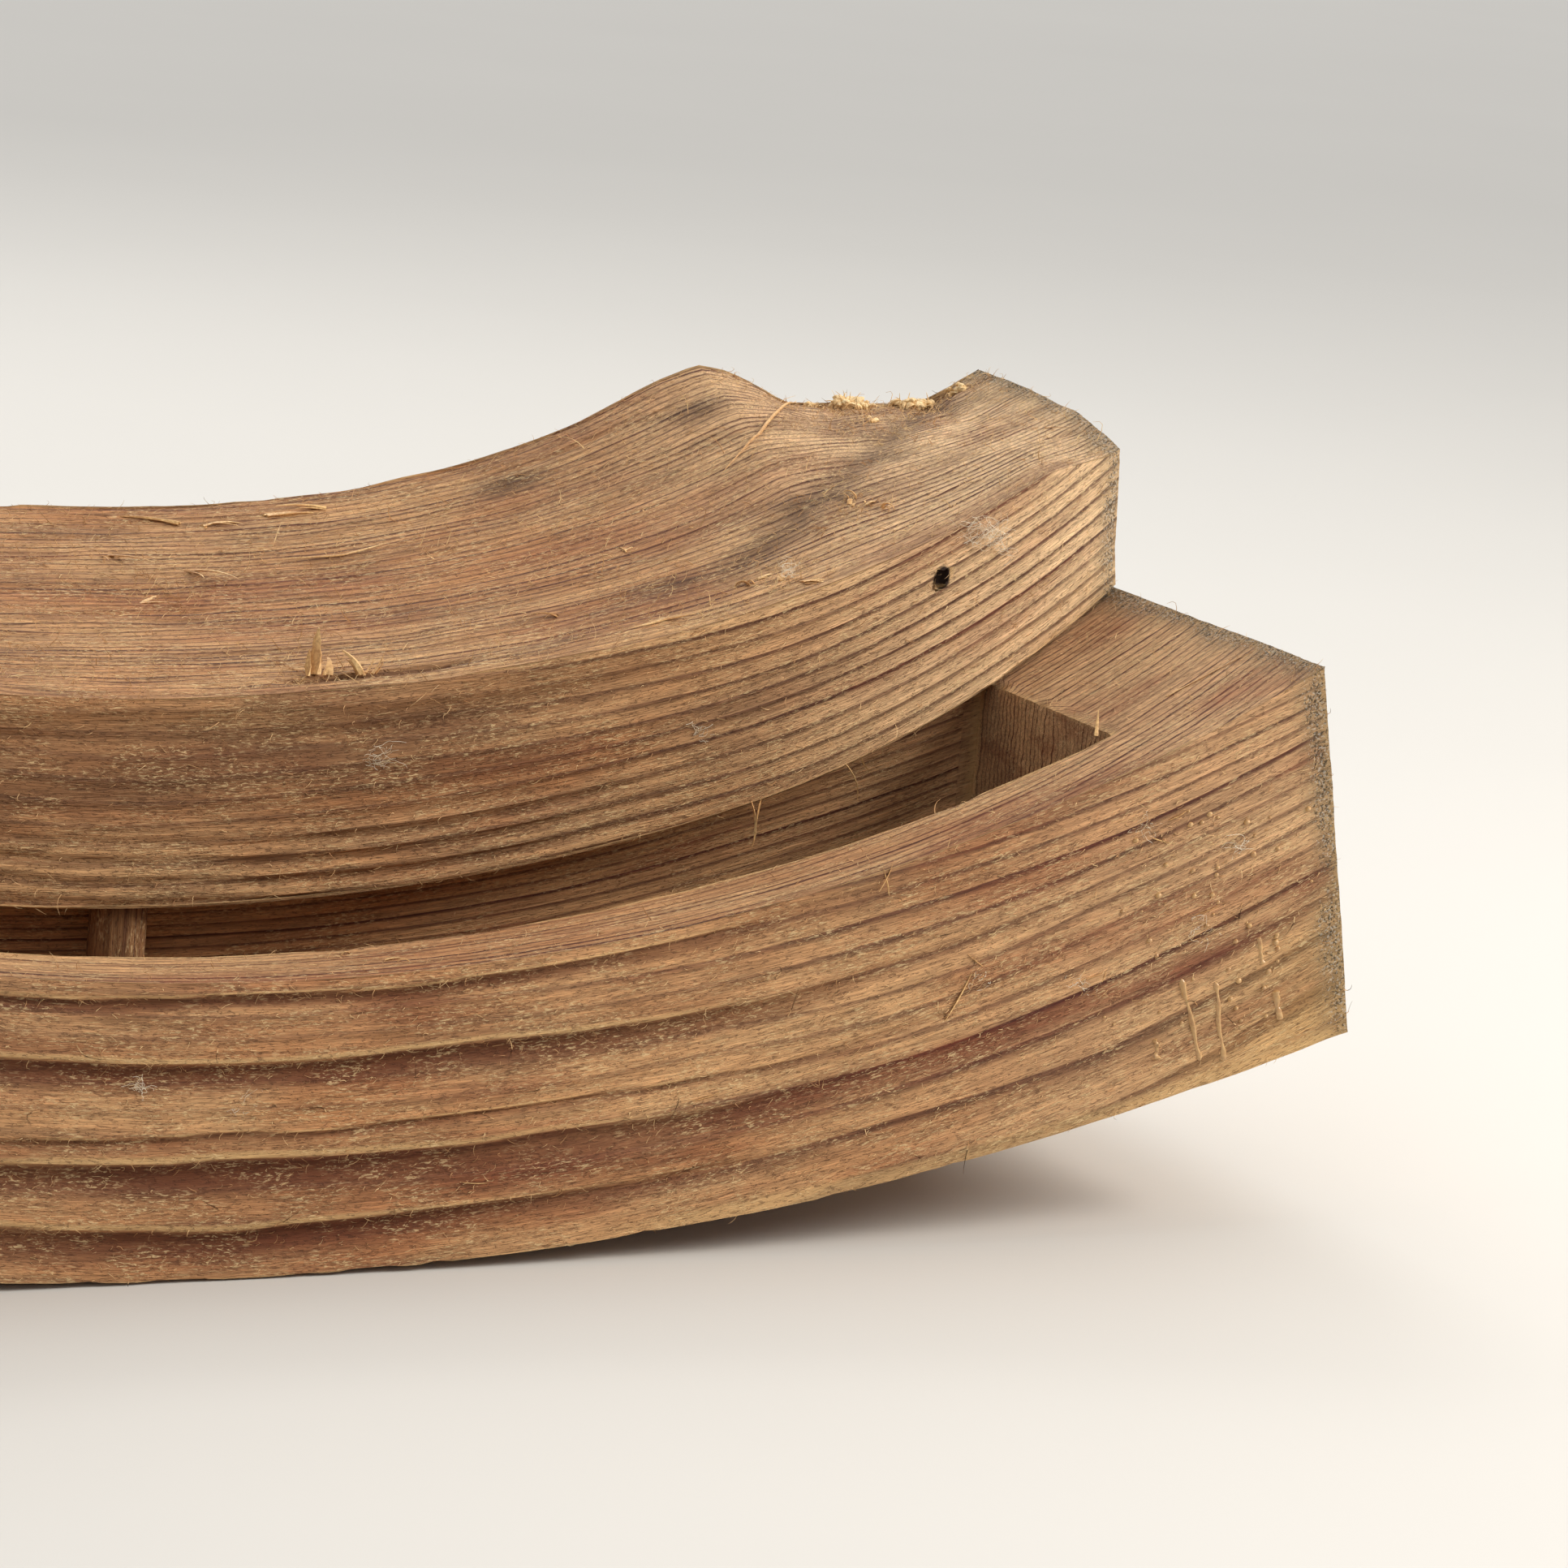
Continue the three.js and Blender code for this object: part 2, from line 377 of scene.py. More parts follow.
def mainBeamMesh():
    slotHalf, slotBack, strip = (float(mainBeam[key]) for key in ("slotHalf", "slotBack", "endStrip"))
    marks = [-bedEndX, -bedEndX + strip, -slotHalf, slotHalf, bedEndX - strip, bedEndX]
    alongX = stations(marks, mainBeam["stationStep"])
    u = alongX[:, None] / bedEndX
    v = np.linspace(0, 1, mainBeam["faceRows"])[None, :]
    yLip = stations([-halfDepth, slotFront], mainBeam["lipStep"])
    ySlot = stations([slotFront, slotBack], mainBeam["slotStep"])
    yBack = stations([slotBack, halfDepth], mainBeam["backStep"])
    yAll = np.concatenate([yLip, ySlot[1:], yBack[1:]])
    slotX = alongX[np.abs(alongX) <= slotHalf + 1e-6][:, None]
    depth = np.linspace(0, 1, mainBeam["slotRows"])[None, :]

    def slotWall(x, y):
        return grid(x, y, lerp(slotFloorZ(x), bedZ(x), depth))

    patches = [
        beamPoint(u, v, -halfDepth),
        beamPoint(u, v, halfDepth),
        beamPoint(u, 0.0, yAll[None, :]),
        beamPoint(u, 1.0, yLip[None, :]),
        beamPoint(u, 1.0, yBack[None, :]),
        beamPoint(u[alongX <= -slotHalf + 1e-6], 1.0, ySlot[None, :]),
        beamPoint(u[alongX >= slotHalf - 1e-6], 1.0, ySlot[None, :]),
        beamPoint(-1.0, v, yAll[:, None]),
        beamPoint(1.0, v, yAll[:, None]),
        slotWall(slotX, slotFront),
        slotWall(slotX, slotBack),
        grid(slotX, ySlot[None, :], slotFloorZ(slotX)),
        slotWall(-slotHalf, ySlot[:, None]),
        slotWall(slotHalf, ySlot[:, None]),
    ]
    return meshFrom("mainBeamWood", *weldPatches(patches))


def boreMeshes(inMain):
    # blind bores of the treenails and the centre peg, in the main beam or in the seat beam
    gap, beyond = pegs["gap"], pegs["boreBeyond"]
    cutters = []
    for x in pegs["at"]:
        bed = float(bedZ(x))
        low, high = (-20, bed + 9) if inMain else (bed - 9, bed + pegs["reach"] + beyond)
        cutters.append(rodMesh("bore", pegs["treenailDiameter"] / 2 + gap, x, pegs["treenailY"], low, high))
    bed, floor, socket = float(bedZ(0)), float(slotFloorZ(0)), pegs["socket"] + beyond
    low, high = (floor - socket, floor + 4) if inMain else (bed - 4, bed + socket)
    cutters.append(rodMesh("bore", pegs["centreDiameter"] / 2 + gap, 0, pegs["centreY"], low, high))
    return cutters


def nearBore(points):
    # 1 on the walls of the peg bores, where the surface stays true
    found = np.zeros(len(points))
    for x in pegs["at"]:
        away = np.hypot(points[:, 0] - x, points[:, 1] - pegs["treenailY"])
        found = np.maximum(found, fade(10.5, 13, away))
    away = np.hypot(points[:, 0], points[:, 1] - pegs["centreY"])
    return np.maximum(found, fade(8, 10, away))


# grain, relief and wear of the beams

mainGrain = {
    "sweepRadius": 700, "pithY": 18, "pithH": -20, "ringPitch": 3.2,
    "ringRelief": 0.32, "fibreRelief": 0.16, "swell": 0.35, "furrowReach": 150, "furrowFade": 110,
    # the rear face has the same furrows upside down, moved along and shallower
    "rearShift": 37, "rearShare": 0.55,
    # edge chips: least and added depth; ring pitch on the slot's end walls and on the bed
    "chips": (0.2, 0.6), "slotEndPitch": 2.1, "bedPitch": 3.0,
    # lines are softer in the worn middle: share lost, and the distances from the middle where they come back
    "softMiddle": (0.7, 80, 200),
    # heights over the belly where the pale strip on the front face ends
    "paleStrip": (3.0, 7.0),
    # each furrow: how far its crisp upper edge lies under the lip, its width and its depth
    "furrows": [(4.0, 6.5, 1.9), (22.0, 9.0, 2.8), (38.0, 3.0, 1.4), (45.5, 10.0, 3.0), (61.0, 9.0, 2.6)],
    # stained spots on the front face: x, height, half length, half height
    "stains": [(295, 93, 9, 5), (262, 72, 26, 4), (205, 53, 34, 4), (150, 40, 40, 4), (80, 24, 40, 4)],
    # patches thick with loose fibres: x, y, z, radius
    "tangled": [(243, -92, 107, 9), (261, -92, 85, 8), (231, -92, 68, 8), (199, -92, 69, 7),
                (272, -92, 100, 10), (-150, -92, 60, 12)],
}
seatGrain = {
    "sweepRadius": 615, "pithY": 190, "pithH": -60, "ringPitch": 3.1, "followsFace": True,
    "ringRelief": 0.36, "fibreRelief": 0.2, "swell": 0.25, "torn": 0.5, "topPitch": 2.5,
    "chips": (0.25, 0.7), "softMiddle": (0.65, 70, 180),
    # a flute along the front face: how far under the crease, its half width, depth and reach from the middle
    "flute": (11, 5.5, 2.8, 95),
    # ridges low on the front face: pitch and depth, and the heights and reaches over which they fade
    "waves": (5.2, 1.1), "waveHeights": (14, 24), "waveReach": (90, 190),
    # the rope's trough over each shoulder: where it leaves the middle, its run, its y there and further on,
    # how it bends, its half width and its depth
    "trough": {"start": 156, "run": 109, "y": 4, "rise": 78, "bend": 1.6, "half": 6.5, "depth": 1.1},
    # a drying crack beside the crease: ends, distance behind the crease, width and depth
    "crack": (34, 96, 9, 1.3, 4.5),
    # dark knots and smudges: x, y, z, half length, half width
    "stains": [(190, 74, 187, 9, 5), (137, 76, 166, 10, 5), (154, 6, 152, 16, 4), (200, 24, 172, 18, 4),
               (227, 40, 180, 14, 5), (262, 78, 188, 12, 6), (-150, 60, 165, 12, 5), (60, 70, 157, 20, 5)],
    "tangled": [(208, 15, 171, 9), (179, -8, 156, 9), (153, -18, 147, 8), (245, 88, 187, 14),
                (265, 88, 188, 8), (50, -9, 131, 10), (30, 50, 140, 12), (-200, 60, 180, 12)],
    # a small hole in the front face: x, y, height and radius
    "chipHole": (222.7, -11.0, 156.3, 1.7),
}


endZone = 270  # beyond this a face that looks along the beam is a sawn end


def grainFields(points, grain, seed):
    x, y, z = points.T
    h = z - sweep(grain["sweepRadius"], x)
    if grain.get("followsFace"):
        back = (y - seatFaceY(x)) / (halfDepth - seatFaceY(x))
        y = lerp(seatBeam["front"], halfDepth, back)
    radius = np.hypot(y - grain["pithY"], h - grain["pithH"])
    warp = 1.1 * softNoise(x / 190, y / 60, h / 45, seed) + 0.35 * softNoise(x / 60, y / 26, h / 16, seed + 1)
    ring = radius / grain["ringPitch"] + warp
    return ring, np.stack([x, y, h], -1) * mm


def ringProfile(ring):
    # latewood stands proud and earlywood is weathered back: 0 proud, 1 worn
    part = ring - np.floor(ring)
    return smooth(0.0, 0.25, part) * fade(0.62, 0.86, part)


def spots(points, marks):
    # 1 in the middle of each mark, fading to 0 a little beyond its reach
    found = np.zeros(len(points))
    for mark in marks:
        away = (points - np.array(mark[:3])) / np.array(mark[3:6])
        found = np.maximum(found, np.exp(-np.sum(away ** 2, 1)))
    return found


def roundSpots(points, marks):
    return spots(points, [(*mark, mark[3], mark[3]) for mark in marks])


def furrowDepth(x, below):
    # sawtooth furrows: a crisp edge under each rounded ridge, then a slow rise to the next ridge; also
    # returns a ridge strip for painted highlight and a painted shade band in each furrow
    total = np.zeros_like(x)
    crest = np.zeros_like(x)
    band = np.zeros_like(x)
    for i, (start, width, depth) in enumerate(mainGrain["furrows"]):
        wander = 2.2 * softNoise(x / 70, 3.1 * i, 0, 11) + 0.7 * softNoise(x / 21, 7.7 * i, 0, 12)
        reach = mainGrain["furrowReach"] * (1 + 0.25 * softNoise(x / 300 + 5, i * 1.7, 0, 13))
        strength = fade(reach - mainGrain["furrowFade"], reach + mainGrain["furrowFade"], np.abs(x))
        shape = width * (0.85 + 0.3 * softNoise(x / 90, i * 5.3, 2, 14))
        t = (below - start - wander) / np.maximum(shape, 1)
        cut = smooth(-0.08, 0.1, t) * fade(0.15, 1.05, t)
        total = np.maximum(total, depth * strength * cut)
        # a strip along each ridge, used for painted highlight and for more loose fibres
        crest = np.maximum(crest, strength * smooth(-0.4, -0.12, t) * fade(-0.08, 0.02, t))
        # painted shade darkening each furrow under its crisp edge
        shadow = smooth(-0.06, 0.1, t) * fade(0.45, 1.1, t)
        band = np.maximum(band, strength * shadow * min(1, depth / 2))
    return total, crest, band


def edgeChips(edge, grain, noise):
    least, extra = grain["chips"]
    return edge * (least + extra * noise)


def shapeMainBeam(mesh):
    points = coordinates(mesh)
    normals = vertexNormals(mesh)
    x, y, z = points.T
    side, sideways = np.abs(x), np.abs(normals[:, 0])
    look = mainGrain
    ring, grain = grainFields(points, look, 3)
    below = (bedZ(x) - z) / np.maximum(bedZ(x) - bellyZ(x), 1) * mainBeam["height"]
    front = smooth(0.55, 0.9, -normals[:, 1]) * (y < slotFront)
    rear = smooth(0.55, 0.9, normals[:, 1]) * (y > slotFront)
    endFace = smooth(0.6, 0.9, sideways) * (side > endZone)
    furrow, crest, band = furrowDepth(x, below)
    rearFurrow, rearCrest, rearFurrowShade = furrowDepth(-x + look["rearShift"], mainBeam["height"] - below)
    band = np.maximum(band * front, 0.5 * rearFurrowShade * rear)
    furrow = np.maximum(furrow * front, look["rearShare"] * rearFurrow * rear)
    crest = np.maximum(crest * front, 0.5 * rearCrest * rear)
    atEnd = 0.25 + 0.75 * smooth(1.0, 5.0, endX(z) - side)
    worn = ringProfile(ring) * look["ringRelief"] * (1 - 0.7 * endFace)
    fibre = look["fibreRelief"] * softNoise(x / 9, y / 1.9, grain[:, 2] / mm / 1.7, 21)
    swell = look["swell"] * (1 + softNoise(x / 55, y / 30, z / 12, 22))
    edge = edgeCloseness(mesh, 3)
    chip = edgeChips(edge, look, smooth(0.1, 0.8, softNoise(x / 7, y / 7, z / 7, 23)))
    chip *= 1 - 0.85 * smooth(255, 285, side)
    depth = mainBeam["inset"] + (worn + fibre) * atEnd + 0.6 * swell + furrow + chip
    depth *= 1 - nearBore(points)
    moveVertices(mesh, points - normals * depth[:, None])

    # the slot's end walls and the bed are drawn with rings of their own
    slotEnd = (sideways > 0.5) & (side < 260)
    upright = (y + 1.5 * softNoise(y / 14, z / 9, x / 50, 25)) / look["slotEndPitch"]
    ring = np.where(slotEnd, upright, ring)
    onBed = (normals[:, 2] > 0.6) & (z > bedZ(x) - 1)
    level = y - 0.5 * (seatFaceY(x) - seatBeam["front"]) + 1.2 * softNoise(x / 60, y / 20, 3, 26)
    strip = front * fade(*look["paleStrip"], z - bellyZ(x)) * smooth(40, 140, side)
    # stains lie along the bent grain, so they are found in straightened heights
    bent = look["sweepRadius"]
    stains = [(sx, -halfDepth, sz - float(sweep(bent, sx)), long, 4, tall)
              for sx, sz, long, tall in look["stains"]]
    straightened = points - np.stack([0 * x, 0 * x, sweep(bent, x)], -1)
    bed = smooth(0.5, 0.9, normals[:, 2]) * (z > bedZ(x) - 3)
    fuzz = 0.7 * front + 0.3 * rear + 0.3 * bed + 0.06 + 0.5 * crest
    lost, near, far = look["softMiddle"]
    storeFields(
        mesh,
        ring=np.where(onBed, level / look["bedPitch"], ring),
        crisp=1 - lost * np.maximum(front, rear) * fade(near, far, side),
        # painted shade in the furrows of the front and rear faces
        furrow=np.clip(band, 0, 1),
        # edge: worn edges and the pale strip, plus painted highlight along the furrow crests
        edge=np.maximum(edge, np.maximum(crest, 0.8 * strip)),
        stain=spots(straightened, stains),
        endGrain=smooth(0.6, 0.9, sideways) * np.where(slotEnd, 0.3, 1),
        fromEnd=(endX(z) - side) * mm,
        grain=grain,
        fuzz=fuzz * (1 + 3 * roundSpots(points, look["tangled"])),
    )


def seatPoint(u, v, s):
    # u from -1 to 1 along the beam, v from bed to seat, s from front to back; x is found by repeating
    x = u * bedEndX
    rounding = seatBeam["topRound"]
    for _ in range(6):
        y = lerp(seatFaceY(x), halfDepth, s)
        cap = np.clip((np.abs(x) - (topX - rounding)) / (rounding + 0.6), 0, 1)
        top = np.minimum(seatZ(x, y), shoulderZ - rounding * (1 - np.sqrt(1 - cap * cap)))
        z = lerp(bedZ(x) + pegs["gap"], top, v)
        x = u * endX(z)
    return grid(x, y, z)


def seatBeamMesh():
    inner = bedEndX - seatBeam["endStrip"]
    middle = stations([-inner, inner], seatBeam["stationStep"])
    outer = stations([inner, bedEndX], seatBeam["endStep"])
    u = np.concatenate([-outer[::-1], middle[1:-1], outer])[:, None] / bedEndX
    v = np.linspace(0, 1, seatBeam["faceRows"])[None, :]
    s = np.linspace(0, 1, seatBeam["topRows"])
    patches = [seatPoint(u, v, 0.0), seatPoint(u, v, 1.0)]
    patches += [seatPoint(u, level, s[None, :]) for level in (1.0, 0.0)]
    patches += [seatPoint(end, v, s[:, None]) for end in (-1.0, 1.0)]
    return meshFrom("seatBeamWood", *weldPatches(patches))


def shapeSeatBeam(mesh):
    points = coordinates(mesh)
    normals = vertexNormals(mesh)
    x, y, z = points.T
    side, sideways = np.abs(x), np.abs(normals[:, 0])
    look = seatGrain
    ring, grain = grainFields(points, look, 40)
    # the rings run lengthwise over the seat
    lengthwise = grain[:, 1] / mm + 0.12 * grain[:, 2] / mm
    lengthwise += 1.6 * softNoise(x / 120, grain[:, 1] / mm / 30, 0, 51)
    lengthwise += 0.5 * softNoise(x / 35, y / 12, 0, 52)
    ring = np.where((normals[:, 2] > 0.5) & (z > bedZ(x) + 20), lengthwise / look["topPitch"], ring)
    top = smooth(0.45, 0.8, normals[:, 2])
    front = smooth(0.5, 0.85, -normals[:, 1])
    under = smooth(0.5, 0.9, -normals[:, 2])
    endFace = smooth(0.6, 0.9, sideways) * (side > endZone)
    drop = creaseZ(x) - z
    lower, half, deep, reach = look["flute"]
    flute = deep * np.exp(-((drop - lower + 2 * softNoise(x / 60, 1, 1, 41)) / half) ** 2)
    flute *= front * fade(reach, reach + 80, side)
    band = z - bedZ(x)
    pitch, deep = look["waves"]
    phase = band / pitch + 0.6 * softNoise(x / 80, 2, 2, 42)
    waves = smooth(0.25, 0.75, 0.5 + 0.5 * np.sin(2 * math.pi * phase))
    waves *= front * fade(*look["waveHeights"], band) * fade(*look["waveReach"], side) * deep
    worn = ringProfile(ring) * look["ringRelief"] * (1 - 0.7 * endFace)
    fibre = look["fibreRelief"] * softNoise(x / 11, y / 1.6, grain[:, 2] / mm / 1.6, 43)
    torn = look["torn"] * smooth(0.0, 0.8, softNoise(x / 26, y / 3.4, 0, 44)) * top
    swell = look["swell"] * (1 + softNoise(x / 60, y / 18, z / 14, 45))
    notch = smooth(1.5, 8, notchCut(x, y)) * top
    ragged = notch * (0.7 + 0.9 * softNoise(x / 4.5, y / 9, 0, 46) + 0.5 * softNoise(x / 2.4, y / 3, 0, 47))
    edge = edgeCloseness(mesh, 3)
    chip = edgeChips(edge, look, smooth(0.0, 0.8, softNoise(x / 9, y / 8, z / 6, 48)))
    chip = (chip + 0.7 * (edge * front)) * (1 - 0.75 * smooth(262, 280, side))
    start, stop, behind, width, deep = look["crack"]
    across = (y - seatFaceY(x) - behind - 1.6 * softNoise(x / 30, 4, 4, 49)) / width
    crack = deep * np.exp(-across ** 2) * (smooth(start, start + 16, x) * fade(stop - 26, stop, x)) * top
    atEnd = 0.25 + 0.75 * smooth(1.0, 5.0, endX(z) - side)
    rope = look["trough"]
    past = np.clip((side - rope["start"]) / rope["run"], 0, 1.2)
    ropeY = y - rope["y"] - rope["rise"] * past ** rope["bend"]
    trough = np.exp(-(ropeY / rope["half"]) ** 2) * smooth(150, 178, side) * top * fade(264, 278, side)
    depth = seatBeam["inset"] + (worn + fibre + torn) * atEnd + swell + np.maximum(ragged, 0)
    depth = depth + rope["depth"] * trough + (flute + waves + chip + crack)
    depth *= 1 - nearBore(points) * (band < 60) * (1 - top)
    depth *= 1 - 0.85 * under
    moveVertices(mesh, points - normals * depth[:, None])
    keepInBox(mesh)

    # painted shade in the flute, ridges, crack and torn notch
    paintedHollowShade = (0.6 * flute + waves + 2 * crack) / 2.4 + 0.4 * np.maximum(torn, ragged)
    # a painted shade band on the front face under the crease, strongest in the middle
    paintedCreaseShade = smooth(7, 12, drop) * fade(24, 34, drop) * front * fade(60, 150, side)
    paintedHollowShade = np.maximum(paintedHollowShade, paintedCreaseShade * (0.8 + 0.3 * softNoise(x / 30, z / 6, 0, 50)))
    fuzz = 0.9 * top + 0.45 * front + 0.15 * (1 - top - front).clip(0, 1) + 0.6 * notch
    lost, near, far = look["softMiddle"]
    storeFields(
        mesh,
        ring=ring,
        crisp=1 - lost * front * fade(near, far, side),
        # furrow: painted shade in the seat's hollows
        furrow=np.clip(paintedHollowShade, 0, 1),
        fuzz=fuzz * (1 + 2.5 * roundSpots(points, look["tangled"])),
        # edge: worn edges, plus painted highlight on the ridges low on the front face
        edge=np.maximum(edge, 0.5 * (1 - np.clip(waves, 0, 1)) * front * (band < 12)),
        # knots and smudges, plus painted shade along the rope trough
        stain=np.maximum(spots(points, [(*mark, 6) for mark in look["stains"]]), 0.85 * trough),
        endGrain=endFace,
        fromEnd=(endX(z) - side) * mm,
        grain=grain,
    )


# node helpers

def addNode(tree, kind, inputs=None, **settings):
    node = tree.nodes.new(kind)
    for key, value in settings.items():
        setattr(node, key, value)
    for key, value in (inputs or {}).items():
        if isinstance(value, bpy.types.NodeSocket):
            tree.links.new(value, node.inputs[key])
        else:
            node.inputs[key].default_value = value
    return node


def calc(tree, operation, a, b=0.0, c=0.0, clamp=False):
    inputs = {0: a, 1: b, 2: c}
    return addNode(tree, "ShaderNodeMath", inputs, operation=operation, use_clamp=clamp).outputs[0]


def times(tree, a, b, clamp=False):
    return calc(tree, "MULTIPLY", a, b, clamp=clamp)


def timesPlus(tree, value, factor, extra, clamp=False):
    return calc(tree, "MULTIPLY_ADD", value, factor, extra, clamp)


def vectorOf(tree, x=0.0, y=0.0, z=0.0):
    return addNode(tree, "ShaderNodeCombineXYZ", {0: x, 1: y, 2: z}).outputs[0]


def scaleVector(tree, vector, scale):
    return addNode(tree, "ShaderNodeVectorMath", {0: vector, 1: scale}, operation="MULTIPLY").outputs[0]


def noiseOf(tree, vector, scale, detail=2.0, roughness=0.5, distortion=0.0):
    if isinstance(scale, tuple):
        vector, scale = scaleVector(tree, vector, scale), 1.0  # a different scale along each axis
    inputs = {"Vector": vector, "Scale": scale, "Detail": detail, "Roughness": roughness}
    return addNode(tree, "ShaderNodeTexNoise", {**inputs, "Distortion": distortion}).outputs["Fac"]


def rangeOf(tree, value, low, high, outLow=0.0, outHigh=1.0):
    inputs = {"Value": value, "From Min": low, "From Max": high, "To Min": outLow, "To Max": outHigh}
    return addNode(tree, "ShaderNodeMapRange", inputs, interpolation_type="SMOOTHSTEP").outputs[0]


def fadeOf(tree, value, low, high):
    return rangeOf(tree, value, low, high, 1.0, 0.0)


def mixColour(tree, factor, a, b, blend="MIX"):
    inputs = {0: factor, 6: a, 7: b}
    return addNode(tree, "ShaderNodeMix", inputs, data_type="RGBA", blend_type=blend).outputs[2]


def layered(tree, colour, layers):
    # each layer: a mask or an amount, and the colour laid over the ones before
    for amount, cover in layers:
        colour = mixColour(tree, amount, colour, cover)
    return colour


def shaded(tree, colour, value, low, high, darkest, brightest):
    grey = rangeOf(tree, value, low, high, darkest, brightest)
    grey = addNode(tree, "ShaderNodeCombineColor", {0: grey, 1: grey, 2: grey}).outputs[0]
    return mixColour(tree, 1.0, colour, grey, "MULTIPLY")


def bumpOf(tree, height, strength, distance):
    inputs = {"Height": height, "Strength": strength, "Distance": distance}
    return addNode(tree, "ShaderNodeBump", inputs).outputs[0]


def attributeOf(tree, name, output="Fac"):
    return addNode(tree, "ShaderNodeAttribute", attribute_name=name).outputs[output]


def objectPlace(tree):
    return addNode(tree, "ShaderNodeTexCoord").outputs["Object"]


def newMaterial(name):
    material = bpy.data.materials.new(name)
    material.use_nodes = True
    tree = material.node_tree
    return material, tree, tree.nodes["Principled BSDF"]


def newGroup(name, inputs, results):
    # inputs without a value are vectors; every result is a number
    group = bpy.data.node_groups.new(name, "ShaderNodeTree")
    for label, value in inputs.items():
        kind = "NodeSocketVector" if value is None else "NodeSocketFloat"
        socket = group.interface.new_socket(label, in_out="INPUT", socket_type=kind)
        if value is not None:
            socket.default_value = value
    given = group.nodes.new("NodeGroupInput").outputs
    values = results(group, given)
    for label in values:
        group.interface.new_socket(label, in_out="OUTPUT", socket_type="NodeSocketFloat")
    end = group.nodes.new("NodeGroupOutput")
    for label, value in values.items():
        group.links.new(value, end.inputs[label])
    return group


def placeGroup(tree, group, inputs):
    return addNode(tree, "ShaderNodeGroup", inputs, node_tree=group).outputs


def rgb(red, green, blue):
    # screen colour to the linear values that nodes use
    linear = [c / 255 / 12.92 if c <= 10 else ((c / 255 + 0.055) / 1.055) ** 2.4 for c in (red, green, blue)]
    return (*linear, 1.0)


# shared wood effects; scales are cells per metre along, across and up through the grain

def growthRings(tree, given):
    drift = noiseOf(tree, given["Grain"], (35, 260, 260), 3.0, 0.6)
    shifted = timesPlus(tree, calc(tree, "SUBTRACT", drift, 0.5), given["Waver"], given["Ring"])
    part = calc(tree, "FRACT", shifted)
    line = times(tree, rangeOf(tree, part, 0.6, 0.9), fadeOf(tree, part, 0.955, 1.0))
    # each ring has its own strength
    number = calc(tree, "FLOOR", shifted)
    tone = addNode(tree, "ShaderNodeTexWhiteNoise", {"W": number}, noise_dimensions="1D").outputs["Value"]
    return {"Late": times(tree, line, timesPlus(tree, tone, 0.6, 0.5), clamp=True), "Tone": tone}


def woodFibres(tree, given):
    grain = given["Grain"]
    stretched = scaleVector(tree, grain, vectorOf(tree, given["Length"], given["Width"], given["Width"]))
    dashes = noiseOf(tree, grain, (520, 2300, 2300), 2.0, 0.65, 0.6)
    clustered = rangeOf(tree, noiseOf(tree, grain, (60, 160, 160)), 0.38, 0.6)
    return {
        "Streak": noiseOf(tree, stretched, 0.42, 3.0, 0.55),
        "Fine": noiseOf(tree, stretched, 1.6, 2.0, 0.6),
        "Patch": noiseOf(tree, grain, (9, 34, 34), 3.0, 0.55, 0.4),
        "Glint": times(tree, rangeOf(tree, dashes, 0.53, 0.66), clustered),
        "Pit": fadeOf(tree, dashes, 0.33, 0.44),
    }


def weatherSpeckle(tree, given):
    place, size = given["Position"], given["Scale"]
    limit = timesPlus(tree, given["Amount"], -0.2, 0.7)
    cloud = noiseOf(tree, place, size, 4.0, 0.7)
    other = noiseOf(tree, scaleVector(tree, place, (1.3, 1.3, 1.3)), size, 2.0, 0.5)
    higher = calc(tree, "ADD", limit, 0.04)
    return {
        "Dark": rangeOf(tree, calc(tree, "SUBTRACT", cloud, limit), 0.0, 0.06),
        "Pale": rangeOf(tree, calc(tree, "SUBTRACT", other, higher), 0.0, 0.05),
    }


ringEffect = newGroup("growthRings", {"Ring": 0.0, "Grain": None, "Waver": 0.12}, growthRings)
fibreEffect = newGroup("woodFibres", {"Grain": None, "Length": 60.0, "Width": 1400.0}, woodFibres)
speckleEffect = newGroup("weatherSpeckle", {"Position": None, "Amount": 0.5, "Scale": 520.0}, weatherSpeckle)


